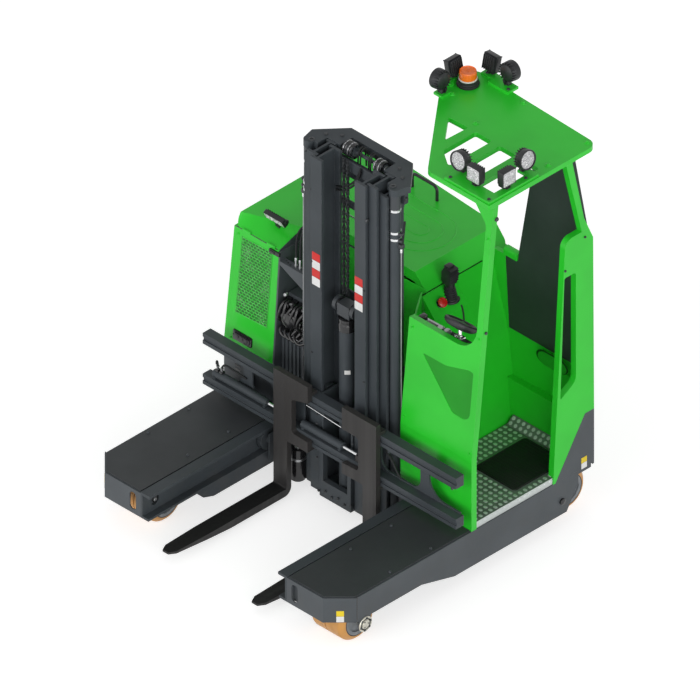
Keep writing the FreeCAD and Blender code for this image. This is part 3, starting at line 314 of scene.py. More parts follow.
def makeTreadMetal(wire, studsFrom, outerFrom):
    # bare plate, bright on its raised studs and on those of its outer edge
    foot = wire.noise(7.0, 4.0).ramp(0.40, 0.70)
    studs = wire.place().split()[2].ramp(studsFrom, studsFrom + 0.001)
    base = foot.blend((0.185, 0.225, 0.195), (0.130, 0.160, 0.140))
    outer = wire.place().split()[0].ramp(outerFrom, outerFrom + 0.0006)
    return {
        "Base Color": (studs + outer * 0.8).clamp().blend(base, (0.66, 0.70, 0.69)),
        "Roughness": 0.40 + foot * 0.18,
        "Metallic": 0.35 + studs * 0.25,
        "Normal": relief(wire, wire.noise(400.0, 3.0), 0.00004, 0.0008),
    }, {}


def makeRubber(wire, colour, paler, pitch):
    dots = wire.noise(520.0, 3.0)
    worn = wire.noise(6.0, 4.0).ramp(0.42, 0.72)
    height = dots
    if pitch:
        scale = 1 / pitch / 3.14   # the lines of a wave texture lie about 0.314 / scale apart
        wave = wire.add("TexWave", {"bands_direction": "Y"}, {"Vector": wire.place(), "Scale": scale})
        height = dots * 0.4 + wave * 0.6
    return {
        "Base Color": (worn * 0.6 + dots * 0.15).clamp().blend(colour, paler),
        "Roughness": 0.66 + worn * 0.14,
        "Normal": relief(wire, height, 0.0003, 0.0015),
    }, {"Specular IOR Level": 0.3}


def makeAmber(wire, middle, count):
    # ribbed beacon lens
    around = wire.place((1, 1, 0), (-middle[0], -middle[1], 0))
    angle = wire.add("Math", {"operation": "ARCTAN2"}, {0: around.split()[1], 1: around.split()[0]})
    ribs = wire.add("Math", {"operation": "SINE"}, {0: angle * count}) * 0.5 + 0.5
    return {
        "Base Color": ribs.blend((0.80, 0.13, 0.006), (0.92, 0.20, 0.012)),
        "Roughness": 0.16 + wire.noise(60.0, 2.0) * 0.12,
        "Normal": relief(wire, ribs, 0.0008),
    }, {"Coat Weight": 0.4, "Coat Roughness": 0.08,
        "Emission Color": (1.0, 0.12, 0.01, 1), "Emission Strength": 0.06}


def makeLampGlass(wire):
    # pale moulded lens in front of the diodes
    cells = wire.add("TexVoronoi", {"feature": "DISTANCE_TO_EDGE"}, {"Vector": wire.place(), "Scale": 95.0})
    ridge = cells.ramp(0.0, 0.22)
    glow = wire.noise(30.0, 3.0).ramp(0.35, 0.7)
    return {
        "Base Color": ridge.blend((0.40, 0.40, 0.42), glow.blend((0.66, 0.66, 0.67), (0.86, 0.86, 0.86))),
        "Roughness": 0.14 + ridge * 0.14,
        "Normal": relief(wire, ridge, 0.0012),
    }, {"Coat Weight": 0.6, "Coat Roughness": 0.05}


def makeGrilleDark(wire):
    # what shows through the mesh: shadow with pale green glints
    broad = wire.noise(9.0, 3.0).ramp(0.46, 0.62)
    fine = wire.noise(150.0, 4.0).ramp(0.50, 0.64)
    glint = (broad * fine).clamp()
    shadow = fine.blend((0.006, 0.120, 0.008), (0.012, 0.21, 0.014))
    return {
        "Base Color": glint.blend(shadow, (0.36, 0.62, 0.36)),
        "Roughness": 0.5 + fine * 0.2,
        "Normal": relief(wire, fine, 0.0006),
    }, {}


def makeRod(wire, headFrom):
    # chromed rod whose head above a height is painted
    head = wire.place().split()[2].ramp(headFrom, headFrom + 0.0005)
    lines = wire.noise(50.0, 4.0, (1, 1, 0.05))
    return {
        "Base Color": head.blend((0.80, 0.81, 0.82), (0.040, 0.046, 0.052)),
        "Roughness": 0.10 + lines * 0.10 + head * 0.28,
        "Metallic": 1 - head,
        "Normal": relief(wire, lines, 0.00003, 0.0015),
    }, {}


finishes = {
    # slot of the CAD that it stands for, maker, and what the maker takes
    # paint: colour, darker patches, rubbed edges, roughness, grain depth in metres, clear coat, shine
    "greenPaint": ("green_paint", makePaint, (0.022, 0.60, 0.026), (0.018, 0.53, 0.022), (0.10, 0.68, 0.10),
                   0.36, 0.00004, 0.12, 0.35),
    "grilleWire": ("green_paint", makePaint, (0.045, 0.62, 0.050), (0.034, 0.46, 0.036), (0.30, 0.85, 0.30),
                   0.46, 0.00002, 0.0, 0.4),
    # the next two greens are painted shade: darker greens for sheets set where recesses, seams and openings
    # fall in shade
    "halfShadeGreen": ("green_paint", makePaint, (0.012, 0.33, 0.014), (0.010, 0.28, 0.012), (0.05, 0.4, 0.05),
                    0.5, 0.00004, 0.0, 0.3),
    "shadeGreen": ("green_paint", makePaint, (0.004, 0.045, 0.005), (0.003, 0.035, 0.004),
                   (0.02, 0.15, 0.02), 0.6, 0.00004, 0.0, 0.1),
    "charcoalPaint": ("charcoal_paint", makePaint, (0.066, 0.076, 0.085), (0.052, 0.060, 0.067),
                      (0.12, 0.13, 0.14), 0.46, 0.00005, 0.0, 0.4),
    "mastPaint": ("charcoal_paint", makePaint, (0.050, 0.059, 0.067), (0.038, 0.046, 0.052),
                  (0.13, 0.14, 0.15), 0.50, 0.00003, 0.0, 0.28),
    "deckPaint": ("charcoal_paint", makePaint, (0.042, 0.047, 0.050), (0.034, 0.038, 0.041),
                  (0.10, 0.11, 0.115), 0.52, 0.00016, 0.0, 0.3),
    "darkPanelPaint": ("dark_panel", makePaint, (0.030, 0.042, 0.038), (0.022, 0.032, 0.029),
                       (0.07, 0.08, 0.075), 0.55, 0.00004, 0.0, 0.3),
    "kickMetal": ("treadplate", makePaint, (0.15, 0.18, 0.16), (0.11, 0.13, 0.12), (0.4, 0.42, 0.4),
                  0.45, 0.00004, 0.0, 0.4),
    "kickStud": ("treadplate", makePaint, (0.50, 0.54, 0.52), (0.38, 0.42, 0.40), (0.7, 0.7, 0.7),
                 0.36, 0.00003, 0.0, 0.5),
    # metal: colour, stain, roughness, stretch and count of its streaks, how metallic
    "chrome": ("chrome_rod", makeMetal, (0.82, 0.83, 0.84), (0.66, 0.67, 0.69), 0.10, (1, 1, 0.05), 40.0),
    "zinc": ("zinc_cap", makeMetal, (0.62, 0.60, 0.52), (0.46, 0.45, 0.40), 0.30, (1, 1, 1), 60.0),
    "steel": ("zinc_cap", makeMetal, (0.45, 0.46, 0.47), (0.30, 0.31, 0.32), 0.30, (1, 0.1, 1), 50.0),
    "darkSteel": ("cast_block", makeMetal, (0.075, 0.08, 0.085), (0.045, 0.048, 0.05), 0.40, (1, 1, 1),
                  70.0, 0.6),
    # floor plate: height and place across the truck from which its studs stand
    "treadMetal": ("treadplate", makeTreadMetal, 0.3855, 0.9812),
    "forkSteel": ("fork_black", makeForkSteel),
    # rods: height from which the head is painted
    "liftRod": ("chrome_rod", makeRod, 2.196),
    "headRod": ("chrome_rod", makeRod, 1.300),
    # tyres: place of the axle along the truck, wear of the tread, place of the line between two tyres
    "frontTyre": ("polyurethane", makeTyre, -0.854, 0.25, 0.780),
    "leftTyre": ("polyurethane", makeTyre, -0.800, 0.25, 0.722),
    "rearTyre": ("polyurethane", makeTyre, 0.860, 0.25, 0.750),
    # rubber: colour, worn colour, pitch of its ribs in metres, 0 for none
    "floorRubber": ("rubber_mat", makeRubber, (0.006, 0.010, 0.007), (0.013, 0.018, 0.013), 0.012),
    "hoseRubber": ("rubber_mat", makeRubber, (0.012, 0.013, 0.014), (0.028, 0.030, 0.032), 0),
    # plastic: colour, paler colour, roughness, count and depth of the grain, shine
    "blackPlastic": ("black_plastic", makePlastic, (0.016, 0.017, 0.019), (0.036, 0.038, 0.042),
                     0.42, 420.0, 0.00008),
    "glossBlack": ("black_plastic", makePlastic, (0.010, 0.010, 0.011), (0.020, 0.020, 0.022),
                   0.18, 200.0, 0.00002, 0.6),
    "smokedGlass": ("black_plastic", makePlastic, (0.012, 0.008, 0.014), (0.030, 0.020, 0.034),
                    0.14, 120.0, 0.00002, 0.5),
    "whitePlastic": ("black_plastic", makePlastic, (0.72, 0.72, 0.70), (0.86, 0.86, 0.84),
                     0.34, 200.0, 0.00002),
    "whitePatch": ("black_plastic", makePlastic, (0.80, 0.80, 0.79), (0.64, 0.64, 0.62),
                   0.40, 300.0, 0.00002),
    "yellowPatch": ("black_plastic", makePlastic, (0.80, 0.60, 0.02), (0.64, 0.46, 0.03),
                    0.40, 300.0, 0.00002),
    "redPatch": ("red_plastic", makePlastic, (0.62, 0.020, 0.016), (0.52, 0.05, 0.045),
                 0.40, 300.0, 0.00002),
    "redPlastic": ("red_plastic", makePlastic, (0.62, 0.012, 0.010), (0.80, 0.04, 0.03),
                   0.24, 200.0, 0.00002, 0.6),
    "castIron": ("cast_block", makePlastic, (0.045, 0.046, 0.048), (0.070, 0.070, 0.072),
                 0.60, 240.0, 0.0004),
    # lens: its middle, count of its ribs
    "amberLens": ("amber_lens", makeAmber, (0.073, 0.870), 36.0),
    "lampGlass": ("black_plastic", makeLampGlass),
    "grilleDark": ("green_paint", makeGrilleDark),
}
material = {}
for name, (slot, maker, *values) in finishes.items():
    material[name], wire, shader = newMaterial(name)
    varying, plain = maker(wire, *values)
    for socket, value in varying.items():
        wire.tree.links.new(value.socket, shader.inputs[socket])
    for socket, value in plain.items():
        shader.inputs[socket].default_value = value
print("finishes ready")

cadFinish = {
    "charcoalPaint": ["right_arm", "left_arm", "chassis_frame", "rear_frame", "counterweight", "power_base",
                      "mast_well", "hydraulic_tank", "right_rear_yoke", "left_rear_yoke"],
    "mastPaint": ["reach_carrier", "outer_mast", "lift_barrels", "middle_mast", "mast_crown", "inner_mast",
                  "free_lift_barrel", "carriage_bars", "carriage_frame", "spread_cylinders", "reach_rails"],
    "deckPaint": ["arm_decks"],
    "greenPaint": ["side_cover", "grille_panel", "rear_cover", "cab_inner_wall", "cab_front_panel",
                   "cab_side_panel", "rear_pillar", "cab_rear_wall", "cab_roof", "control_console",
                   "engine_lid"],
    "darkPanelPaint": ["cab_rear_guard", "dashboard"],
    "forkSteel": ["right_fork", "left_fork"],
    "chrome": ["right_spread_rod", "left_spread_rod"],
    "liftRod": ["lift_rods"],
    "headRod": ["free_lift_rod"],
    "zinc": ["front_axles"],
    "frontTyre": ["right_front_wheel"],
    "leftTyre": ["left_front_wheel"],
    "rearTyre": ["right_rear_wheel", "left_rear_wheel"],
    "treadMetal": ["cab_floor"],
    "floorRubber": ["floor_mat"],
    "castIron": ["power_unit"],
    "blackPlastic": ["lid_handle", "lid_lamp", "work_lamps", "hand_controls"],
    "amberLens": ["beacon"],
    "redPlastic": ["stop_button"],
}


for name, members in cadFinish.items():
    for member in members:
        shown = nodes[member]
        if not shown.data.materials:
            shown.data.materials.append(material[name])
        for place in shown.material_slots:
            place.link = "OBJECT"
            place.material = material[name]

# shapes
shapeSizes = {"steps": 28, "cornerSteps": 5, "bevelSteps": 2, "bevelShape": 0.6, "sharp": 34}
axesOf = {
    # the way a part's own x, y and z lie on each side of the truck; z points away from it
    "front": ((1, 0, 0), (0, 0, 1), (0, -1, 0)), "back": ((-1, 0, 0), (0, 0, 1), (0, 1, 0)),
    "right": ((0, 1, 0), (0, 0, 1), (1, 0, 0)), "left": ((0, -1, 0), (0, 0, 1), (-1, 0, 0)),
    "top": ((1, 0, 0), (0, 1, 0), (0, 0, 1)),
}


def sideOf(sign):
    return "right" if sign > 0 else "left"


def at(x, y, z):
    return Matrix.Translation((x, y, z))


def spun(angle):
    return Matrix.Rotation(angle, 4, "Z")


def facing(side, point, tilt=0.0):
    # lays a part on a side of the truck; tilt in degrees leans its outward face up
    turn = Matrix(axesOf[side]).transposed().to_4x4()
    return Matrix.Translation(point) @ turn @ Matrix.Rotation(math.radians(-tilt), 4, "X")


def along(start, end):
    # lays a part with its z from start towards end
    way = Vector(end) - Vector(start)
    return Matrix.Translation(start) @ Vector((0, 0, 1)).rotation_difference(way).to_matrix().to_4x4()


def block(size, rounding=0.0, middle=(0, 0, 0)):
    part = bmesh.new()
    bmesh.ops.create_cube(part, size=1.0)
    for vert in part.verts:
        vert.co = Vector([a * b + c for a, b, c in zip(vert.co, size, middle)])
    if rounding:
        bmesh.ops.bevel(part, geom=part.edges[:], offset=rounding, segments=shapeSizes["bevelSteps"],
                          profile=shapeSizes["bevelShape"], affect="EDGES")
    return part


def turned(profile, steps=shapeSizes["steps"]):
    # profile is radius and height from bottom to top
    part = bmesh.new()
    rings = []
    for radius, height in profile:
        if radius == 0:
            rings.append([part.verts.new((0, 0, height))])
            continue
        rings.append([part.verts.new((radius * math.cos(2 * math.pi * i / steps),
                                      radius * math.sin(2 * math.pi * i / steps), height))
                      for i in range(steps)])
    for low, high in zip(rings, rings[1:]):
        for i in range(steps):
            j = (i + 1) % steps
            if len(low) == 1:
                part.faces.new((low[0], high[j], high[i]))
            elif len(high) == 1:
                part.faces.new((low[i], low[j], high[0]))
            else:
                part.faces.new((low[i], low[j], high[j], high[i]))
    return part


def slab(outline, thick, rounding=0.0):
    # a flat outline drawn up by its thickness
    part = bmesh.new()
    face = part.faces.new([part.verts.new((x, y, 0)) for x, y in outline])
    drawn = bmesh.ops.extrude_face_region(part, geom=[face])["geom"]
    tops = [v for v in drawn if isinstance(v, bmesh.types.BMVert)]
    bmesh.ops.translate(part, verts=tops, vec=(0, 0, thick))
    bmesh.ops.recalc_face_normals(part, faces=part.faces)
    if rounding:
        rim = [e for e in part.edges if all(v in tops for v in e.verts)]
        bmesh.ops.bevel(part, geom=rim, offset=rounding, segments=shapeSizes["bevelSteps"],
                          profile=shapeSizes["bevelShape"], affect="EDGES")
    return part


def roundedOutline(width, height, radius, steps=shapeSizes["cornerSteps"]):
    points = []
    for sx, sy, start in ((1, 1, 0), (-1, 1, 90), (-1, -1, 180), (1, -1, 270)):
        cx, cy = sx * (width / 2 - radius), sy * (height / 2 - radius)
        for i in range(steps + 1):
            angle = math.radians(start + 90 * i / steps)
            points.append((cx + radius * math.cos(angle), cy + radius * math.sin(angle)))
    return points


def panel(width, height, radius, thick, rounding=0.0):
    # a flat plate with rounded corners
    return slab(roundedOutline(width, height, radius), thick, rounding)


def disc(radius, tall, steps):
    return turned([(0, 0), (radius, 0), (radius, tall), (0, tall)], steps)


def plug(radius, shoulder, top, tall, steps):
    # a disc whose rim slopes from its shoulder in to a smaller top
    return turned([(0, 0), (radius, 0), (radius, shoulder), (top, tall), (0, tall)], steps)


def circle(radius, count, z=0.0, start=0.0):
    # places round a circle
    for i in range(count):
        angle = 2 * math.pi * i / count + start
        yield at(radius * math.cos(angle), radius * math.sin(angle), z)


def turns(count):
    # equal turns about a part's own z
    return [spun(2 * math.pi * i / count) for i in range(count)]


def corners(x, y):
    return [(-x, -y), (-x, y), (x, -y), (x, y)]


def bolt(across, tall=None):
    # hexagon head on its washer, standing on z = 0
    tall = tall or across * 0.42
    r = across * 0.5
    part = turned([(0, 0), (r * 1.32, 0), (r * 1.32, across * 0.08), (r * 0.98, across * 0.10)], 18)
    put(part, turned([(r * 1.08, across * 0.06), (r * 1.15, across * 0.10), (r * 1.15, tall * 0.86),
                      (r * 0.98, tall), (0, tall)], 6))
    return part


def capScrew(across):
    # round head with its key socket
    r = across * 0.5
    return turned([(0, 0), (r, 0), (r, across * 0.45), (r * 0.9, across * 0.52), (r * 0.5, across * 0.52),
                   (r * 0.46, across * 0.22), (0, across * 0.22)], 14)


def blanks(count):
    # empty meshes to put parts into
    return [bmesh.new() for i in range(count)]


def put(whole, part, place=Matrix()):
    # moves a part into a growing piece
    part.transform(place)
    kept = bpy.data.meshes.new("part")
    part.to_mesh(kept)
    part.free()
    whole.from_mesh(kept)
    bpy.data.meshes.remove(kept)


def fasten(whole, make, across, side, points, tilt=0.0):
    # the same screw or bolt at several points on one side
    for point in points:
        put(whole, make(across), facing(side, point, tilt))


def piece(name, whole, finish, body="chassis"):
    bmesh.ops.recalc_face_normals(whole, faces=whole.faces)
    mesh = bpy.data.meshes.new(name)
    whole.to_mesh(mesh)
    whole.free()
    mesh.polygons.foreach_set("use_smooth", [True] * len(mesh.polygons))
    mesh.set_sharp_from_angle(angle=math.radians(shapeSizes["sharp"]))
    made = bpy.data.objects.new(name, mesh)
    scene.collection.objects.link(made)
    return rideOn(made, body, finish)


def rideOn(made, body, finish):
    made.data.materials.append(material[finish])
    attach(made, body)
    return made


def hoses(name, paths, thick, finish, body="chassis"):
    # smooth round lines, one spline for each path
    curve = bpy.data.curves.new(name, "CURVE")
    curve.dimensions = "3D"
    curve.bevel_depth = thick / 2
    curve.bevel_resolution = 4
    curve.resolution_u = 8
    curve.use_fill_caps = True
    for path in paths:
        spline = curve.splines.new("NURBS")
        spline.points.add(len(path) - 1)
        for point, spot in zip(spline.points, path):
            point.co = (*spot, 1)
        spline.order_u = min(4, len(path))
        spline.use_endpoint_u = True
    made = bpy.data.objects.new(name, curve)
    scene.collection.objects.link(made)
    return rideOn(made, body, finish)


print("tools ready")

# lamps and beacon
lampSizes = {
    "seat": 2.506, "round": 0.060, "roundDeep": 0.044, "square": 0.104, "squareDeep": 0.036, "fins": 6,
    # height of the middle over the seat, half the width of the foot's fork and its reach
    "foot": {"round": (0.080, 0.016, 0.026), "square": (0.072, 0.020, 0.020)},
    # kind, x, y, side that it lights, lean of the lens upwards in degrees
    "places": [("round", 0.662, 0.242, "front", 10), ("square", 0.804, 0.198, "front", 0),
               ("square", 0.948, 0.302, "right", 0), ("round", 0.891, 0.484, "right", 10),
               ("square", -0.022, 0.850, "left", -12), ("round", 0.042, 0.697, "left", -6),
               ("square", 0.106, 1.026, "back", -12), ("round", 0.247, 1.010, "back", -6)],
}


def addRoundLamp(house, glass, place):
    r, deep = lampSizes["round"], lampSizes["roundDeep"]
    put(house, turned([(0, -deep * 0.5), (r * 0.62, -deep * 0.5), (r * 0.80, -deep * 0.34), (r * 0.86, 0),
                       (r * 0.97, deep * 0.22), (r, deep * 0.46), (r, deep * 0.98), (r * 0.96, deep * 1.02),
                       (r * 0.89, deep * 1.0), (r * 0.86, deep * 0.84)], 36), place)
    for turn in turns(20):
        put(house, block((r * 0.16, 0.005, deep * 0.75), 0.0012, (r * 0.90, 0, -deep * 0.02)), place @ turn)
    put(glass, turned([(0, deep * 0.92), (r * 0.5, deep * 0.90), (r * 0.88, deep * 0.84),
                       (r * 0.88, deep * 0.6)], 36), place)
    for away, count in ((0, 1), (r * 0.44, 6)):
        for spot in circle(away, count, deep * 0.86):
            put(glass, turned([(r * 0.19, 0), (r * 0.18, 0.004), (r * 0.12, 0.0075), (0, 0.009)], 14),
                place @ spot)


def addSquareLamp(house, glass, place):
    wide, deep = lampSizes["square"], lampSizes["squareDeep"]
    put(house, panel(wide, wide, 0.012, deep, 0.004), place @ at(0, 0, -deep * 0.5))
    put(house, panel(wide * 0.84, wide * 0.84, 0.012, deep * 0.4, 0.004),
        place @ at(0, 0, -deep * 0.86))
    for i in range(lampSizes["fins"]):
        x = wide * 0.7 * (i / (lampSizes["fins"] - 1) - 0.5)
        put(house, block((0.004, wide * 0.86, deep * 0.5), 0.001, (x, 0, -deep * 0.80)), place)
    put(glass, panel(wide * 0.86, wide * 0.86, 0.008, 0.003, 0.001),
        place @ at(0, 0, deep * 0.5))
    for x, y in corners(wide * 0.21, wide * 0.21):
        put(glass, turned([(wide * 0.17, 0), (wide * 0.16, 0.003), (wide * 0.10, 0.007), (0, 0.008)], 16),
            place @ at(x, y, deep * 0.5 + 0.002))
    for x, y in corners(wide * 0.455, wide * 0.455):
        put(house, capScrew(0.008), place @ at(x, y, deep * 0.5))


def makeLamps():
    house, glass, feet = blanks(3)
    cables = []
    for kind, x, y, side, lean in lampSizes["places"]:
        seat = Vector((x, y, lampSizes["seat"]))
        high, half, reach = lampSizes["foot"][kind]
        middle = seat + Vector((0, 0, high))
        place = facing(side, middle, lean)
        (addRoundLamp if kind == "round" else addSquareLamp)(house, glass, place)
        foot = facing(side, seat)
        put(feet, block((0.034, 0.004, 0.030), 0.001, (0, 0.002, 0)), foot)
        for dx in (-half, half):
            put(feet, block((0.004, reach, 0.020), 0.001, (dx, reach / 2 + 0.001, -0.006)), foot)
        put(feet, bolt(0.016), facing("top", seat + Vector((0, 0, 0.003))))
        out = Vector(axesOf[side][2])
        tail = middle - out * 0.024 - Vector((0, 0, 0.018))
        cables.append([tail, tail - out * 0.022 - Vector((0, 0, 0.008)),
                       seat - out * 0.034 + Vector((0, 0, 0.024)),
                       seat - out * 0.022 + Vector((0, 0, 0.003))])
    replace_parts(piece("lampHousings", house, "blackPlastic"), "work_lamps")
    piece("lampLenses", glass, "lampGlass")
    piece("lampFeet", feet, "darkSteel")
    hoses("lampCables", cables, 0.006, "hoseRubber")


beaconSizes = {"place": (0.073, 0.870, 2.490), "screws": 3, "screwRing": 0.0615}


def makeBeacon():
    spot = at(*beaconSizes["place"])
    base, band, lens = blanks(3)
    put(base, turned([(0, 0), (0.066, 0), (0.066, 0.009), (0.061, 0.012), (0.061, 0.020), (0.057, 0.024),
                      (0.057, 0.033), (0.050, 0.037), (0, 0.037)], 40), spot)
    for place in circle(beaconSizes["screwRing"], beaconSizes["screws"], 0.009, 0.5):
        put(base, capScrew(0.010), spot @ place)
    put(band, turned([(0.052, 0.037), (0.0535, 0.038), (0.0535, 0.043), (0.050, 0.045), (0.046, 0.045)],
                     40), spot)
    put(lens, turned([(0.048, 0.044), (0.050, 0.046), (0.0495, 0.086), (0.047, 0.092), (0.0445, 0.0935),
                      (0.0425, 0.091), (0.041, 0.088), (0.0, 0.086)], 72), spot)
    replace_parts(piece("beaconLens", lens, "amberLens"), "beacon")
    piece("beaconBase", base, "blackPlastic")
    piece("beaconRing", band, "whitePlastic")


lidLampSizes = {"place": (-0.718, 0.149, 1.538), "lean": -30, "size": (0.150, 0.062),
                "fins": 9, "finStep": 0.015, "diodes": 4, "diodeStep": 0.032}


def makeLidLamp():
    # long flat lamp over the falling front of the lid, lens towards the forks and down
    house, glass = blanks(2)
    place = facing("front", lidLampSizes["place"], lidLampSizes["lean"])
    wide, high = lidLampSizes["size"]
    put(house, panel(wide, high, 0.008, 0.026, 0.004), place @ at(0, 0, -0.013))
    for i in range(lidLampSizes["fins"]):
        x = (i - (lidLampSizes["fins"] - 1) / 2) * lidLampSizes["finStep"]
        put(house, block((0.003, high - 0.010, 0.010), 0.0008, (x, 0, -0.016)), place)
    put(glass, panel(wide - 0.012, high - 0.012, 0.006, 0.003, 0.001), place @ at(0, 0, 0.012))
    for i in range(lidLampSizes["diodes"]):
        x = (i - (lidLampSizes["diodes"] - 1) / 2) * lidLampSizes["diodeStep"]
        put(glass, turned([(0.014, 0), (0.013, 0.003), (0.008, 0.006), (0, 0.007)], 14),
            place @ at(x, 0, 0.014))
    # bracket behind it and the turning knob at its right end
    put(house, block((0.034, 0.010, 0.084), 0.003, (-0.728, 0.178, 1.498)))
    put(house, block((0.034, 0.024, 0.006), 0.002, (-0.728, 0.184, 1.460)))
    put(house, plug(0.017, 0.012, 0.014, 0.015, 20),
        facing("right", (-0.655, 0.162, 1.540)))
    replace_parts(piece("lidLampHousing", house, "blackPlastic", "lid"), "lid_lamp")
    piece("lidLampLens", glass, "lampGlass", "lid")


makeLamps()
makeBeacon()
makeLidLamp()
print("lamps ready")

# operator cab
cabSizes = {
    "side": 0.989, "roof": 2.490, "lampSheet": 2.506,
    # the front panel leans back by its slope from a foot of y and z
    "foot": (-0.018, 0.811), "slope": 0.104,
    # sheet from the front panel back to the console: its ends, middle height and height
    "sheet": ((0.434, 0.068), (0.232, 0.346)), "sheetMiddle": 1.035, "sheetHigh": 0.750,
    "pocket": (0.745, 0.8598, 0.938),
}
matLow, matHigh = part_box("floor_mat")
floorSizes = {
    "pitch": 0.039, "stud": 0.0125, "rise": 0.0022, "top": 0.385, "ribs": 16, "matTop": 0.394,
    "area": ((0.450, 0.045), (0.975, 0.800)), "margin": 0.008,
}


def addStud(whole, place):
    r, rise = floorSizes["stud"], floorSizes["rise"]
    put(whole, turned([(r, -0.0005), (r * 0.86, rise * 0.7), (r * 0.5, rise), (0, rise)], 12), place)


def makeFloorStuds():
    whole = bmesh.new()
    (x0, y0), (x1, y1) = floorSizes["area"]
    pitch, margin = floorSizes["pitch"], floorSizes["margin"]
    for i in range(int((x1 - x0) / pitch) + 1):
        for j in range(int((y1 - y0) / pitch) + 1):
            spot = x0 + i * pitch, y0 + j * pitch
            underMat = all(low - margin < a < high + margin for a, low, high in zip(spot, matLow, matHigh))
            if not underMat:
                addStud(whole, at(*spot, floorSizes["top"]) @ Matrix.Scale(1.25, 4, (1, 0, 0)))
    # studs run on down the outer edge
    for j in range(int((y1 - y0) / pitch)):
        spot = facing("right", (0.983, y0 + (j + 0.5) * pitch, 0.366))
        addStud(whole, spot @ Matrix.Scale(1.2, 4, (1, 0, 0)))
    # kick plate at the rear wall
    low, high = Vector((0.441, 0.806, 0.387)), Vector((0.441, 0.858, 0.432))
    way = high - low
    lean = math.degrees(math.atan2(way.z, way.y))
    kick = Matrix.Translation(low) @ Matrix.Rotation(math.radians(lean), 4, "X")
    plate, studs = blanks(2)
    put(plate, block((0.500, way.length, 0.003), 0.0008, (0.250, way.length / 2, 0)), kick)
    for i in range(13):
        for j in range(2):
            addStud(studs, kick @ at(0.018 + i * pitch, 0.018 + j * 0.032, 0.0015))
    piece("kickPlate", plate, "kickMetal")
    piece("kickStuds", studs, "kickStud")
    piece("floorStuds", whole, "treadMetal")
    # raised edge and ribs of the mat
    lip = bmesh.new()
    across, deep = matHigh[0] - matLow[0], matHigh[1] - matLow[1]
    middle = ((matLow[0] + matHigh[0]) / 2, (matLow[1] + matHigh[1]) / 2)
    edge = floorSizes["matTop"]
    for sign in (-1, 1):
        x, y = middle[0] + sign * (across / 2 - 0.005), middle[1] + sign * (deep / 2 - 0.005)
        put(lip, block((0.006, deep - 0.050, 0.003), 0.001, (x, middle[1], edge)))
        put(lip, block((across - 0.050, 0.006, 0.003), 0.001, (middle[0], y, edge)))
    for i in range(floorSizes["ribs"]):
        y = matLow[1] + 0.022 + (deep - 0.044) * i / (floorSizes["ribs"] - 1)
        put(lip, block((across - 0.036, 0.005, 0.0014), 0.0004, (middle[0], y, edge - 0.0008)))
    piece("matRibs", lip, "floorRubber")


stickSizes = {"foot": (0.271, 0.530, 1.290), "bellows": 6, "grip": 0.062, "ridges": 7}
steeringSizes = {"middle": (0.720, 0.168, 1.530), "axis": (0, 0.6, 0.8), "grips": 36, "spokes": 3,
                 "stem": ((0.738, 0.138, 1.450), (0.722, 0.163, 1.522))}
buttonSizes = {"foot": (0.284, 0.442, 1.3155), "out": (0.755, 0, 0.656)}


def makeJoystick():
    x, y, z = stickSizes["foot"]
    whole = bmesh.new()
    rings = [(0, 0.002), (0.056, 0.002), (0.058, 0.008), (0.055, 0.014), (0.046, 0.016)]
    for i in range(stickSizes["bellows"]):
        r = 0.045 - 0.0026 * i
        rings += [(r, 0.020 + 0.013 * i), (r - 0.008, 0.0265 + 0.013 * i)]
    rings += [(0.028, 0.100), (0.027, 0.128), (0, 0.128)]
    put(whole, turned(rings, 28), at(x, y, z))
    # head with finger ridges down its right side and a pointed top
    wide = stickSizes["grip"]
    grip = [(-0.030, 0.112), (-0.040, 0.135), (-0.038, 0.190), (-0.018, 0.226)]
    for i in range(stickSizes["ridges"]):
        fall = 0.218 - 0.0155 * i
        edge = 0.036 - 0.0016 * abs(i - 2)
        grip += [(edge + 0.008, fall), (edge - 0.003, fall - 0.008)]
    put(whole, slab(grip[:-2] + [(0.024, 0.112)], wide, 0.004), facing("front", (x, y + wide / 2, z)))
    put(whole, block((0.040, 0.046, 0.016), 0.005, (x - 0.006, y, z + 0.226)))
    return whole


def makeSteeringWheel():
    middle = Vector(steeringSizes["middle"])
    place = along(middle, middle + Vector(steeringSizes["axis"]))
    whole = bmesh.new()
    put(whole, turned([(0, -0.030), (0.050, -0.030), (0.078, -0.025), (0.095, -0.014), (0.101, 0.000),
                       (0.099, 0.011), (0.091, 0.016), (0.083, 0.013), (0.078, 0.006), (0.040, 0.003),
                       (0.034, 0.011), (0, 0.013)], 48), place)
    for turn in turns(steeringSizes["grips"]):
        put(whole, block((0.004, 0.006, 0.016), 0.0015, (0.0985, 0, 0.002)), place @ turn)
    for turn in turns(steeringSizes["spokes"]):
        put(whole, block((0.048, 0.018, 0.006), 0.002, (0.056, 0, 0.007)), place @ turn)
    return whole


